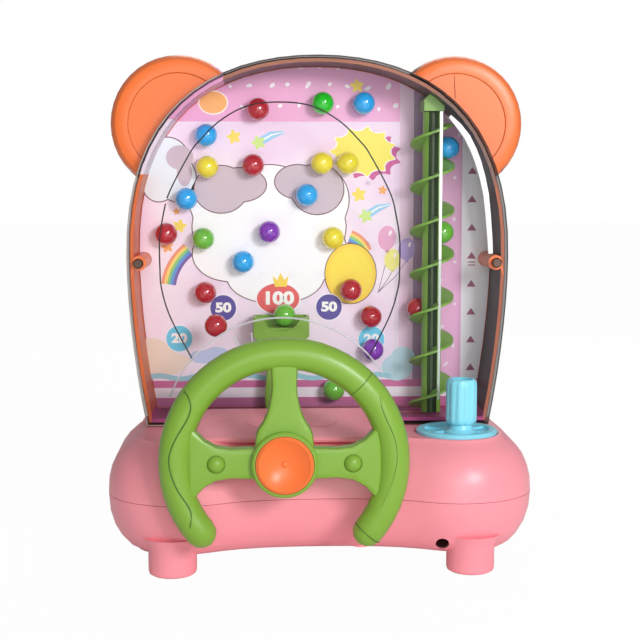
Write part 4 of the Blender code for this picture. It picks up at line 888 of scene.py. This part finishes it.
@dataclass
class PrintedCard:
    """The card at the back of the play field with its print, bare where a title and figures would be."""

    face: float = field(default_factory=lambda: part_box("print_card")[0].y)
    layer: float = 0.05 * MM

    def patch(self, name: str, outlines: Iterable[Sequence[Flat]], colour: Finish, level: int = 1) -> Piece:
        """Prints flat shapes on the card.

        Args:
            name: the piece's name.
            outlines: the outlines in X and Z millimetres.
            colour: the ink.
            level: how many layers of ink lie under and in it.

        Returns:
            The printed piece.
        """
        scaled = [in_metres(outline) for outline in outlines]
        return dress(plate(name, scaled, self.face - level * self.layer, self.face + self.layer / 2), colour, "base")

    def stars(self) -> None:
        """Prints the plain stars and the two shooting stars."""
        yellow = ink("yellow", (252, 222, 66))
        orange = ink("orange", (250, 168, 74))
        self.patch("print_stars_yellow", [star(-54.1, 267.5, 5.2, 14), star(-90.5, 208.7, 5.0, -12),
                                          star(28.9, 229.4, 5.4, 10), star(27.4, 301.0, 5.0, 6)], yellow)
        self.patch("print_stars_orange", [star(-98.9, 195.0, 4.6, 10), star(44.7, 232.3, 3.4, -8),
                                          star(-92.5, 218.3, 2.6, 8)], orange)
        pale = ink("pale_green", (206, 236, 128))
        blue = ink("sky_blue", (150, 206, 240))
        heads, tails, streaks = [], [], []
        for head, tail in (((-37.9, 263.8), (-20.7, 270.8)), ((33.4, 215.2), (50.1, 223.0))):
            heads.append(star(*head, 5.2, 20))
            middle = ((head[0] + tail[0]) / 2, (head[1] + tail[1]) / 2 + 1.4)
            tails.append(ribbon([head, middle, tail], (5.4, 5.0, 1.4)))
            streaks.append(ribbon([head, (middle[0], middle[1] + 0.2), tail], (1.3, 1.1, 0.4)))
        self.patch("print_shooting_tails", tails, blue)
        self.patch("print_shooting_streaks", streaks, ink("white", (255, 253, 255), 0.02), 2)
        self.patch("print_shooting_heads", heads, pale, 3)

    def rainbows(self) -> None:
        """Prints a rainbow at each side of the play field."""
        colours = ((244, 150, 110), (252, 216, 100), (132, 206, 120), (84, 150, 222), (112, 84, 170))
        bands = tuple((index / 5, colour) for index, colour in enumerate(reversed(colours)))
        for name, centre, inner, outer, first, last in (
                ("print_rainbow_left", (-62.8, 164.8), 30.9, 40.8, 128.0, 172.0),
                ("print_rainbow_right", (16.8, 184.6), 13.0, 22.4, 22.0, 70.0)):
            rings = BandInk(f"{name}_ink", "card", centre=(centre[0] * MM, centre[1] * MM), inner=inner * MM,
                            outer=outer * MM, bands=bands, unevenness=0.06)
            outline = arc_path(*centre, outer, first, last) + arc_path(*centre, inner, last, first)
            self.patch(name, [outline], rings)

    def balloons(self) -> None:
        """Prints three balloons with their strings."""
        shine = []
        for name, x, z, wide, tall, colour in (
                ("print_balloon_purple", 61.0, 193.0, 5.6, 7.4, (170, 142, 212)),
                ("print_balloon_yellow", 51.5, 186.0, 5.4, 7.2, (240, 232, 116)),
                ("print_balloon_pink", 47.8, 200.5, 6.0, 8.2, (234, 158, 200))):
            knot = [(x - 1.2, z - tall - 1.4), (x + 1.2, z - tall - 1.4), (x, z - tall + 0.6)]
            self.patch(name, [oval(x, z, wide, tall, lean=-6), knot],
                       Ink(f"{name}_ink", "card", colour, unevenness=0.16), 2)
            shine.append(oval(x + wide * 0.35, z + tall * 0.4, wide * 0.16, tall * 0.24, 16, -20))
        self.patch("print_balloon_shine", shine, ink("shine", (255, 240, 246)), 3)
        hand = (42.0, 164.0)
        strings = [ribbon([top, middle, hand], (0.5, 0.5, 0.5)) for top, middle in (
            ((47.8, 192.0), (46.6, 182.0)), ((61.0, 185.5), (54.0, 175.0)), ((51.5, 178.5), (48.0, 172.0)))]
        self.patch("print_balloon_strings", strings, ink("string", (150, 120, 150)))

    def burst(self) -> None:
        """Prints the blank comic burst with its shadow."""
        spikes = []
        for index in range(88):
            angle = 2 * math.pi * index / 88 + 0.12
            wave = abs(math.cos(5.5 * angle))
            reach = 0.79 + 0.21 * (1 - wave) ** 1.6
            spikes.append((reach * math.cos(angle), reach * math.sin(angle)))
        for name, x, z, wide, tall, colour, level in (
                ("shadow", 35.2, 255.4, 23.4, 17.4, (206, 74, 150), 1),
                ("edge", 31.5, 257.9, 24.0, 18.2, (255, 250, 252), 2),
                ("face", 31.5, 257.9, 23.0, 17.3, (250, 234, 84), 3)):
            self.patch(f"print_burst_{name}", [[(x + wide * u, z + tall * v) for u, v in spikes]],
                       ink(f"burst_{name}", colour, 0.08), level)

    def clouds(self) -> None:
        """Prints the big plain cloud with its grey puffs, the small ones, the sun and the ground."""
        line = ink("brown_line", (104, 58, 62), 0.04)
        white = ink("white", (255, 253, 255), 0.02)
        grey = ink("grey_puff", (204, 184, 196), 0.1)
        middle = (-31.0, 206.0)
        big = ((-31.0, 208.0, 51.0, 34.0), (-64.0, 226.0, 20.0, 21.0), (2.0, 226.0, 20.0, 22.0),
               (-31.0, 232.0, 26.0, 17.0), (-58.0, 190.0, 24.0, 18.0), (-3.0, 190.0, 25.0, 18.0),
               (-27.0, 174.0, 32.0, 17.0))
        self.patch("print_cloud_line", [lobed(*middle, big, 0.7)], line, 2)
        self.patch("print_cloud", [lobed(*middle, big)], white, 3)
        puffs = (("left", (-62.0, 232.0), ((-63.0, 233.0, 17.5, 15.5), (-50.0, 236.0, 17.0, 11.0))),
                 ("right", (0.0, 232.0), ((1.0, 233.0, 17.5, 16.5), (-12.0, 238.0, 15.0, 11.0))))
        for name, at, lobes in puffs:
            self.patch(f"print_puff_{name}_line", [lobed(*at, lobes, 0.7)], line, 4)
            self.patch(f"print_puff_{name}", [lobed(*at, lobes)], grey, 5)
        small = ((-98.0, 248.0, 15.5, 19.0), (-104.0, 236.0, 10.5, 11.0), (-92.0, 240.0, 12.5, 15.0))
        self.patch("print_small_cloud_line", [lobed(-98.0, 246.0, small, 0.7)], line, 2)
        self.patch("print_small_cloud", [lobed(-98.0, 246.0, small)], ink("ice_white", (236, 244, 250)), 3)
        puff = lobed(-90.0, 252.0, ((-90.0, 254.0, 9.0, 8.0), (-87.0, 244.0, 5.0, 9.0)))
        self.patch("print_small_puff", [puff], grey, 4)
        self.patch("print_sun_line", [oval(23.4, 176.6, 17.6, 20.6)], line, 4)
        sun = BandInk("ink_sun", "card", centre=(23.4 * MM, 176.6 * MM), outer=20.0 * MM, squash=1.17,
                      bands=((0.0, (254, 226, 54)), (0.72, (253, 214, 48)), (0.9, (248, 190, 44))), unevenness=0.05)
        self.patch("print_sun", [oval(23.4, 176.6, 17.0, 20.0)], sun, 5)
        spot = ink("orange_dot", (248, 176, 84))
        self.patch("print_dot_edge", [oval(-67.7, 290.0, 9.9, 8.0)], ink("cream", (252, 240, 226)), 2)
        self.patch("print_dot", [oval(-67.7, 290.0, 9.0, 7.1)], spot, 3)
        hill = smooth_path([(-114.9, 132.9), (-107.9, 133.6), (-100.2, 130.2), (-93.9, 123.7), (-83.1, 119.8),
                            (-86.3, 114.6), (-94.1, 109.5), (-105.6, 109.5), (-113.5, 110.9), (-114.9, 132.9)], 4)
        self.patch("print_hill", [hill[:-1]], ink("beige", (238, 222, 204)))
        lilac = ink("blue_lilac", (190, 204, 240))
        low = lobed(-70.0, 121.0, ((-76.0, 121.0, 9.0, 4.5), (-67.0, 122.5, 9.0, 5.0)))
        self.patch("print_low_cloud", [low], lilac, 2)
        icy = ink("ice_blue", (184, 220, 232))
        self.patch("print_pool_right", [lobed(56.0, 115.0, ((55.0, 113.0, 10.5, 9.0), (59.0, 120.0, 8.0, 7.0)))], icy)
        wave = [(-113.0 + 4.0 * i, 107.2 + 1.2 * math.sin(0.85 * i)) for i in range(42)]
        self.patch("print_wave", [ribbon(wave, [3.4] * len(wave))], ink("teal", (150, 206, 222)), 2)

    def badges(self) -> None:
        """Prints the score badges: an oval and round ones, each with a pale edge and its number."""
        violet, sky = (78, 62, 156), (104, 206, 240)
        for name, x, z, wide, tall, colour, height in (
                ("100", -25.2, 160.0, 15.2, 11.0, (232, 88, 88), 11.4),
                ("50_left", -62.0, 153.9, 9.2, 9.2, violet, 8.6), ("50_right", 8.9, 154.2, 9.2, 9.2, violet, 8.6),
                ("20_left", -91.5, 133.4, 9.3, 9.3, sky, 8.4), ("20_right", 37.6, 132.3, 9.3, 9.3, sky, 8.4)):
            rings = BandInk(f"badge_{name}_ink", "card", centre=(x * MM, z * MM), inner=0.0, outer=wide * MM,
                            squash=tall / wide, bands=((0.0, colour), (0.93, (250, 244, 250))), unevenness=0.03)
            self.patch(f"print_badge_{name}", [oval(x, z, wide, tall, 48)], rings, 6)
            self.number(f"print_number_{name}", name.split("_")[0], x, z, height)
        crown = [(-27.4, 168.0), (-28.9, 175.6), (-25.9, 172.4), (-23.5, 177.5), (-21.1, 172.4), (-18.1, 175.6),
                 (-19.6, 168.0)]
        self.patch("print_crown", [crown], ink("crown", (252, 214, 52)), 7)

    def number(self, name: str, words: str, x: float, z: float, height: float) -> None:
        """Prints a number.

        Args:
            name: the piece's name.
            words: its digits.
            x: its middle.
            z: its middle height.
            height: its size, in millimetres like the rest.
        """
        piece = added(name, bpy.ops.object.text_add, location=ORIGIN)
        piece.data.body = words
        piece.data.size = height * MM
        piece.data.align_x = "CENTER"
        piece.data.align_y = "CENTER"
        piece.data.offset = 0.05 * height * MM
        piece.data.extrude = self.layer / 2
        piece = as_mesh(piece)
        piece.rotation_euler = UPRIGHT
        piece.scale = (1.22, 1.0, 1.0)
        piece.location = (x * MM, self.face - 7.6 * self.layer, z * MM)
        settle(piece)
        dress(piece, ink("number", (255, 252, 250), 0.02), "base")

    def arrows(self) -> None:
        """Prints the column of small triangles beside the lift and the level mark between them."""
        outlines = []
        for index in range(8):
            z = 245.4 - 18.9 * index
            outlines.append([(104.8 - 3.1, z - 2.2), (104.8 + 3.1, z - 2.2), (104.8, z + 2.4)])
        for z in (184.2, 182.2):
            outlines.append([(102.4, z - 0.35), (107.2, z - 0.35), (107.2, z + 0.35), (102.4, z + 0.35)])
        self.patch("print_arrows", outlines, ink("plum", (152, 52, 104)))

    def build(self) -> None:
        """Makes the card and everything printed on it."""
        skin("print_card", CARD)
        self.clouds()
        self.rainbows()
        self.stars()
        self.balloons()
        self.burst()
        self.badges()
        self.arrows()


# ---------------------------------------------------------------- panel

@dataclass
class Panel:
    """The orange tray with its ears, and the clear window in front of it."""

    guide: tuple[Flat, ...] = (
        (-80.8, 124.6), (-94.4, 151.1), (-100.1, 170.0), (-101.0, 183.0), (-101.0, 201.3), (-98.4, 217.9),
        (-94.4, 232.0), (-81.6, 255.8), (-75.4, 263.8), (-62.9, 276.1), (-45.1, 285.9), (-24.4, 288.4),
        (-3.7, 285.9), (14.1, 276.1), (26.6, 263.8), (32.8, 255.8), (45.6, 232.0), (49.6, 217.9),
        (52.2, 201.3), (52.2, 183.0), (51.3, 170.0), (45.6, 151.1), (32.0, 124.6))
    ear: tuple[float, float, float] = (88.8, 275.0, 32.2)
    boss: tuple[float, float, float] = (114.4, 186.5, 5.2)
    middle: float = 190.0 * MM
    skirt_back: float = 40.0 * MM
    fall: float = 52.8 * MM
    ear_foot: float = 225.0 * MM
    ear_gap: float = 1.2 * MM
    catch_radius: float = 76.4
    line_depth: float = 2.8 * MM
    line_wire: float = 0.46 * MM
    catch_wire: float = 0.62 * MM
    pin_wire: float = 0.6 * MM
    near_outline: float = 3 * MM
    highlight_depth: Flat = (24.6, 27.0)

    def outline(self) -> list[Flat]:
        """Gives the points round the window's edge, in metres, from its skirt's back."""
        mesh = frame["nodes"]["front_cover"].data
        return [(v.co.x, v.co.z) for v in mesh.vertices if abs(v.co.y - self.skirt_back) < 0.1 * MM]

    def window(self) -> None:
        """Makes the clear window: a face, a rounded rim, a skirt and the walls inside, each in its own finish; the rim
        and skirt carry painted shade over the top and down the right.
        """
        cover = skin("front_cover", CLEAR, 28.0)
        mesh = cover.data
        # Slot 0 is the finish that the skin was given; these are slots 1 to 3, here and in tray().
        for finish in (WINDOW_RIM, CLEAR_SKIRT, CLEAR_WALL):
            mesh.materials.append(finish.material())
        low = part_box("front_cover")[0]
        edge = self.outline()
        for face in mesh.polygons:
            if abs(face.normal.y) > 0.98:
                continue
            corners = [mesh.vertices[i].co for i in face.vertices]
            if any(min(math.hypot(c.x - px, c.z - pz) for px, pz in edge) > self.near_outline for c in corners):
                face.material_index = 3
            elif face.center.y < low.y + 1.1 * MM:
                face.material_index = 1
            else:
                face.material_index = 2

    def reach(self, face: bpy.types.MeshPolygon, mesh: bpy.types.Mesh) -> float:
        """How near a face's middle is to the skirt's vertices if it belongs to the skirt.

        Args:
            face: the face.
            mesh: its mesh.

        Returns:
            The limit in metres.
        """
        corners = [mesh.vertices[i].co for i in face.vertices]
        spread = max(math.hypot(a.x - b.x, a.z - b.z) for a in corners for b in corners)
        return spread * 0.75 + 0.3 * MM

    def tray(self) -> None:
        """Makes the tray with its ears: its step, rim and inner wall get painted shade over the top and down the right
        and a lit colour at the left.
        """
        shell = skin("rear_shell", ORANGE, 30.0)
        mesh = shell.data
        for finish in (TRAY_STEP, TRAY_RIM, TRAY_WALL):
            mesh.materials.append(finish.material())
        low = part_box("front_cover")[0]
        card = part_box("print_card")[0].y
        edge = self.outline()
        boss_x, boss_z, boss_reach = (v * MM for v in self.boss)
        for face in mesh.polygons:
            x, y, z = face.center
            if math.hypot(abs(x) - boss_x, z - boss_z) < boss_reach and abs(face.normal.x) < 0.97:
                continue
            inward = -(face.normal.x * x + face.normal.z * (z - self.middle))
            gap, px, pz = min((math.hypot(x - px, z - pz), px, pz) for px, pz in edge)
            outside = math.hypot(x, z - self.middle) - math.hypot(px, pz - self.middle)
            in_ear = z > self.ear_foot and outside > self.ear_gap and y > self.skirt_back
            if gap > self.reach(face, mesh) + self.near_outline or in_ear:
                continue
            if face.normal.y < -0.9 and abs(y - self.skirt_back) < 0.6 * MM:
                face.material_index = 1
            elif face.normal.y < -0.9 and y < low.y + 4 * MM:
                face.material_index = 2
            elif abs(face.normal.y) < 0.5 and low.y < y < card + 4 * MM and (inward > 0 or y < self.skirt_back):
                face.material_index = 3

    def ring(self) -> None:
        """Makes the black line painted for the dark look of the window's step edge, and the white catch line, a painted
        highlight along a step of the window, behind the window.
        """
        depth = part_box("front_cover")[0].y + self.line_depth
        path = standing(smooth_path(self.guide, 4), depth)
        breaks = (0, 23, len(path))
        # Painted dark line: black wires where the window's step edge looks dark.
        for index, (first, last) in enumerate(zip(breaks, breaks[1:])):
            dress(wire(f"step_edge_line_{index + 1}", path[first:last], self.line_wire), STEP_EDGE_SHADE, "base")
        # Painted highlight: a white wire along the window's step round the catcher, and two short white strokes in the
        # same finish.
        arc = standing(arc_path(*Steering.hub, self.catch_radius, 31.7, 160.5, 40), depth)
        dress(wire("catch_line", arc, self.catch_wire), RIB_HIGHLIGHT, "base")
        for index, (top, foot) in enumerate((((-54.1, 139.3), (-51.1, 133.7)), ((-43.0, 141.8), (-42.4, 135.5)))):
            dress(wire(f"catch_pin_{index + 1}", standing((top, foot), depth), self.pin_wire), RIB_HIGHLIGHT, "base")

    def ear_marks(self) -> None:
        """Makes the fine joint line in each ear and the flow line in the right one."""
        x, z, radius = self.ear
        for side, name in ((-1, "left"), (1, "right")):
            path = standing(((side * u, v) for u, v in arc_path(x, z, radius, -42.0, 122.0, 40)), 33.9 * MM)
            dress(wire(f"ear_line_{name}", path, 0.26 * MM), SEAM_ORANGE, "base")
        mark = standing(((87.5, 307.0), (87.9, 298.0), (88.4, 291.0)), 34.0 * MM)
        dress(wire("ear_flow_line", mark, 0.36 * MM, widths=(0.4, 1.0, 0.5)), SEAM_ORANGE, "base")

    def edge_highlights(self) -> None:
        """Makes white strips that are painted highlights: one along the window's upper right curve, and one down the
        lane's front edge.
        """
        # Painted highlight of the window's rounded upper right edge, as a white strip.
        points = [(83.9, 279.5), (89.4, 273.8), (94.9, 266.7), (99.0, 258.7), (102.2, 250.7), (105.1, 240.9),
                  (107.5, 230.2), (109.0, 216.7), (110.2, 203.2), (110.9, 192.4)]
        widths = (1.7, 3.0, 3.5, 3.5, 3.5, 3.3, 3.1, 3.0, 2.8, 2.5)
        front, back = (v * MM for v in self.highlight_depth)
        dress(plate("curve_highlight", [in_metres(ribbon(points, widths))], front, back, 0.3 * MM), WHITE_AND_HIGHLIGHT, "base")
        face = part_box("front_cover")[0].y
        # Painted highlight down the lane's clear front edge.
        for name, edge, edge_widths, finish in (
                ("lane_highlight", [(78.05, 282.6), (78.0, 240.0), (77.9, 188.9)], (1.9, 1.9, 1.7), WHITE_AND_HIGHLIGHT),
                ("lane_highlight_low", [(77.9, 188.9), (77.6, 98.0)], (1.7, 1.5), RIB_HIGHLIGHT)):
            strip = plate(name, [in_metres(ribbon(edge, edge_widths))], face - 0.12 * MM, face + 0.05 * MM)
            dress(strip, finish, "base")

    def ramp(self) -> None:
        """Makes the clear ramp at the window's foot, falling towards the lift."""
        low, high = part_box("ball_ramp")
        outline = [(low.x, low.z), (high.x, low.z), (high.x, low.z + 1.2 * MM), (self.fall, 89.2 * MM), (low.x, high.z)]
        piece = plate("ball_ramp_skin", [outline], low.y, high.y)
        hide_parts("ball_ramp")
        dress(piece, CLEAR_WALL, "base")

    def build(self) -> None:
        """Makes the tray, the window and what is between them."""
        self.tray()
        self.window()
        self.ring()
        self.ear_marks()
        self.edge_highlights()
        self.ramp()
        skin("side_screw_left", DARK_STEEL)
        skin("side_screw_right", DARK_STEEL)


# ---------------------------------------------------------------- base

@dataclass
class Base:
    """The pink base in two shells, with its ledge and the plate and screws inside."""

    beans: tuple[tuple[float, float, float, float], ...] = (
        (-61.0, 9.0, 7.5, 8.5), (-35.0, 3.0, 12.0, 13.0), (0.5, 3.0, 9.5, 12.0), (17.0, 15.0, 6.5, 5.5))
    ledge_front: tuple[float, float] = (-23.5, 83.5)
    ledge_slope: float = 0.199

    def ledge(self) -> None:
        """Makes the low bean-shaped bosses on the ledge, each with a moulded line round it."""
        front, height = self.ledge_front
        for index, (x, y, wide, long) in enumerate(self.beans, 1):
            piece = added(f"ledge_bean_{index}", bpy.ops.mesh.primitive_uv_sphere_add, segments=32, ring_count=16,
                          radius=MM, rotation=(math.atan(self.ledge_slope), 0.0, 0.0),
                          location=(x * MM, y * MM, (height + (y - front) * self.ledge_slope) * MM))
            piece.scale = (wide, long, 0.8)
            settle(piece)
            soften(piece, 60.0)
            dress(piece, PINK, "base")
            line = [Vector((u * MM, v * MM, (height + (v - front) * self.ledge_slope + 0.06) * MM))
                    for u, v in oval(x, y, wide + 0.5, long + 0.8, 28)]
            dress(wire(f"ledge_line_{index}", line, 0.22 * MM, closed=True), SEAM_PINK, "base")

    def build(self) -> None:
        """Makes the shells and dresses what is inside them."""
        skin("base_lower_shell", PINK, 36.0)
        skin("base_upper_shell", PINK, 36.0)
        self.ledge()
        screws = [n for n in frame["nodes"] if "screw" in n and not n.startswith("side_")]
        for nodes, finish in ((("gear_plate", "shaft_bracket"), WHITE_AND_HIGHLIGHT), (screws, STEEL),
                              (("auger_gear", "crank_gear"), WHITE_AND_HIGHLIGHT)):
            for node in nodes:
                skin(node, finish)


# ---------------------------------------------------------------- steering

@dataclass
class Steering:
    """The open wheel, its studs and horn, and the catcher it swings."""

    hub: Flat = (-23.5, 75.0)
    rim_radius: float = 64.5
    tube: float = 9.4
    rim_y: float = -61.0

    def on_rim(self, x: float, z: float) -> Vector:
        """Gives the point on the rim's front surface at an X and a height, in millimetres.

        Args:
            x: across.
            z: height.

        Returns:
            The point in metres.
        """
        off = math.hypot(x - self.hub[0], z - self.hub[1]) - self.rim_radius
        depth = math.sqrt(max(self.tube ** 2 - off ** 2, 0.0))
        return Vector((x * MM, (self.rim_y - depth) * MM, z * MM))

    def seams(self) -> None:
        """Makes the fine joint lines of the rim's halves."""
        grip = [(-81.5, 118.2), (-80.2, 117.2), (-79.1, 115.7), (-78.1, 113.6), (-77.3, 109.3), (-78.6, 104.1),
                (-81.5, 99.2), (-86.1, 91.9), (-89.7, 84.5), (-90.9, 77.5), (-89.6, 69.7), (-85.3, 59.3),
                (-79.9, 52.1), (-76.9, 46.2), (-78.8, 38.5)]
        dress(wire("grip_seam", [self.on_rim(x, z) for x, z in grip], 0.42 * MM), SEAM_GREEN, "steering")
        right = [(32.0, 115.5), (31.9, 110.7), (34.8, 102.5), (39.8, 93.3), (42.9, 80.9), (41.1, 67.6), (33.0, 50.1)]
        dress(wire("grip_seam_right", [self.on_rim(x, z) for x, z in right], 0.22 * MM,
                   widths=(0.3, 1.0, 1.0, 0.9, 0.7, 0.6, 0.3)), SEAM_GREEN, "steering")
        turns = ((44.0, "upper"), (131.0, "lower"))
        for angle, name in turns:
            direction = math.radians(angle)
            path = []
            for index in range(13):
                round_tube = math.radians(-80 + 160 * index / 12)
                reach = self.rim_radius + self.tube * math.sin(round_tube)
                path.append(Vector(((self.hub[0] + reach * math.sin(direction)) * MM,
                                    (self.rim_y - self.tube * math.cos(round_tube)) * MM,
                                    (self.hub[1] + reach * math.cos(direction)) * MM)))
            dress(wire(f"rim_seam_{name}", path, 0.24 * MM), SEAM_GREEN, "steering")

    def horn(self) -> None:
        """Makes the nipple at the middle of the horn's dish."""
        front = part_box("horn_button")[0].y + 5.2 * MM
        piece = added("horn_nipple", bpy.ops.mesh.primitive_uv_sphere_add, segments=24, ring_count=12,
                      radius=1.8 * MM, location=standing([self.hub], front)[0])
        piece.scale = (1.0, 0.45, 1.0)
        settle(piece)
        soften(piece, 60.0)
        dress(piece, ORANGE, "horn")

    def build(self) -> None:
        """Makes all that turns with the wheel."""
        for node, finish, degrees in (
                ("steering_wheel", GREEN, 40.0), ("wheel_stud_left", GREEN, 32.0), ("wheel_stud_right", GREEN, 32.0),
                ("horn_button", ORANGE, 50.0), ("horn_spring", STEEL, 32.0), ("steering_shaft", STEEL, 32.0),
                ("catcher_arm", GREEN, 32.0)):
            skin(node, finish, degrees)
        self.seams()
        self.horn()


# ---------------------------------------------------------------- lift and crank

@dataclass
class Lift:
    """The screw that raises the balls, its top bush, and the crank on the base."""

    axis: Flat = (75.4, 45.1)
    groove: float = 5.6

    def build(self) -> None:
        """Makes the screw, the bush, the disc and the grip."""
        screw = skin("auger", SPINDLE_GREEN, 40.0)
        # Front faces of the screw's core groove get a dark green painted shade.
        screw.data.materials.append(GROOVE_SHADE.material())
        x, y = (v * MM for v in self.axis)
        for face in screw.data.polygons:
            if face.center.y < y and math.hypot(face.center.x - x, face.center.y - y) < self.groove * MM:
                face.material_index = 1
        skin("auger_top_bush", SPINDLE_GREEN)
        skin("crank_disc", CYAN, 38.0)
        skin("crank_grip", CYAN, 50.0)


# ---------------------------------------------------------------- balls

@dataclass
class Balls:
    """The loose balls, modelled once with their parting line and copied to each place."""

    rings: int = 24

    def pattern(self, radius: float) -> bpy.types.Mesh:
        """Makes one ball with a fine parting line round it.

        Args:
            radius: the ball's radius.

        Returns:
            The mesh, centred on the origin.
        """
        piece = added("ball_pattern", bpy.ops.mesh.primitive_uv_sphere_add, segments=2 * self.rings,
                      ring_count=self.rings, radius=radius, location=ORIGIN, rotation=(0.5, 0.3, 0.0))
        bpy.ops.object.transform_apply(location=False, rotation=False, scale=True)
        bpy.ops.object.mode_set(mode="EDIT")
        bpy.ops.mesh.select_all(action="DESELECT")
        edit = bmesh.from_edit_mesh(piece.data)
        for edge in edit.edges:
            edge.select = all(abs(v.co.z) < 0.01 * MM for v in edge.verts)
        bmesh.update_edit_mesh(piece.data)
        bpy.ops.mesh.bevel(offset=0.18 * MM, segments=2, affect="EDGES")
        bpy.ops.object.mode_set(mode="OBJECT")
        settle(piece)
        soften(piece, 60.0)
        mesh = piece.data
        bpy.data.objects.remove(piece)
        return mesh

    def build(self) -> None:
        """Stands a finished ball in the place of each packed one."""
        names = sorted(n for n in frame["nodes"] if n.startswith("ball_") and n[5:7].isdigit())
        low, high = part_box(names[0])
        mesh = self.pattern((high.z - low.z) / 2)
        for node in names:
            word = node.split("_")[-1]
            colour = BallColour.LEAF if word == "caught" else BallColour[word.upper()]
            low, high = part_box(node)
            piece = linked(f"{node}_skin", mesh.copy())
            piece.location = (low + high) / 2
            settle(piece)
            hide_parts(node)
            dress(piece, colour.value, body_of_node(node))


# ---------------------------------------------------------------- studio

@dataclass
class Studio:
    """A plain pale floor, soft light and the camera."""

    distance: float = 0.875
    pitch: float = 6.0
    azimuth: float = -2.5
    lens: float = 78.75
    sensor: float = 36.0
    world_light: float = 0.32
    floor_white: float = 0.975
    aim: Vector = field(default_factory=lambda: Vector((0.0, 0.0, 0.1524)))

    def camera(self) -> None:
        """Puts the camera a little left of and above the middle."""
        data = bpy.data.cameras.new("camera")
        data.lens = self.lens
        data.sensor_width = self.sensor
        item = linked("camera", data)
        side, up = math.radians(self.azimuth), math.radians(self.pitch)
        away = Vector((math.sin(side) * math.cos(up), -math.cos(side) * math.cos(up), math.sin(up)))
        item.location = self.aim + away * self.distance
        item.rotation_euler = (-away).to_track_quat("-Z", "Y").to_euler()
        bpy.context.scene.camera = item

    def lamp(self, name: str, place: Vector, size: float, power: float) -> None:
        """Adds a soft square lamp aimed at the toy.

        Args:
            name: the lamp's name.
            place: where it stands.
            size: its side.
            power: its power in watts.
        """
        data = bpy.data.lights.new(name, "AREA")
        data.size = size
        data.energy = power
        item = linked(name, data)
        item.location = place
        item.rotation_euler = (self.aim - place).to_track_quat("-Z", "Y").to_euler()

    def floor(self) -> None:
        """Makes the pale floor, which stays white to the camera but keeps the toy's shadow."""
        plane = added("studio_floor", bpy.ops.mesh.primitive_plane_add, size=12.0, location=ORIGIN)
        item = bpy.data.materials.new("studio_floor")
        item.use_nodes = True
        net = Shading(item.node_tree)
        surface = item.node_tree.nodes["Principled BSDF"]
        net.feed(surface, Base_Color=(0.95, 0.95, 0.95, 1.0), Roughness=0.8)
        glow = net.node("Emission", Strength=1.0, Color=WHITE_LIGHT)
        self.white_to_camera(net, surface, glow, "Material Output", self.floor_white)
        plane.data.materials.append(item)

    def world(self) -> None:
        """Fills the world with soft light, white where the camera sees it."""
        world = bpy.data.worlds.new("studio_world")
        bpy.context.scene.world = world
        world.use_nodes = True
        net = Shading(world.node_tree)
        soft = world.node_tree.nodes["Background"]
        net.feed(soft, Color=WHITE_LIGHT, Strength=self.world_light)
        seen = net.node("Background", Strength=1.0, Color=WHITE_LIGHT)
        self.white_to_camera(net, soft, seen, "World Output")

    @staticmethod
    def white_to_camera(net: Shading, plain: Node, white: Node, output: str,
                        share: Optional[float] = None) -> None:
        """Shows white to the camera, straight or through clear plastic, and the plain shader to all other rays.

        Args:
            net: the tree.
            plain: the shader that lights the toy.
            white: the shader that the camera sees.
            output: the name of the tree's output node.
            share: how much of the white shows, all if none is given.
        """
        rays = net.node("LightPath").outputs
        seen = net.maths("MAXIMUM", rays["Is Camera Ray"], rays["Is Transmission Ray"])
        blend = net.node("MixShader")
        for target, value in zip(blend.inputs, (seen if share is None else net.times(seen, share), plain.outputs[0],
                                                white.outputs[0])):
            net.give(target, value)
        net.feed(net.tree.nodes[output], Surface=blend.outputs[0])

    def build(self) -> None:
        """Sets the studio up."""
        bpy.context.scene.view_settings.view_transform = "Standard"
        self.camera()
        self.floor()
        self.world()
        self.lamp("key_lamp", Vector((0.6, -1.25, 0.62)), 0.34, 11.0)
        self.lamp("fill_lamp", Vector((0.1, -1.6, 0.34)), 0.9, 6.6)
        self.lamp("back_lamp", Vector((0.2, 1.1, 0.9)), 0.8, 5.0)


def main() -> None:
    """Builds every part in order."""
    logging.basicConfig(level=logging.INFO, format="%(name)s %(message)s")
    for part in (Base(), Panel(), PrintedCard(), Steering(), Lift(), Balls(), Studio()):
        log.info("building %s", type(part).__name__)
        part.build()


if __name__ == "__main__":
    main()
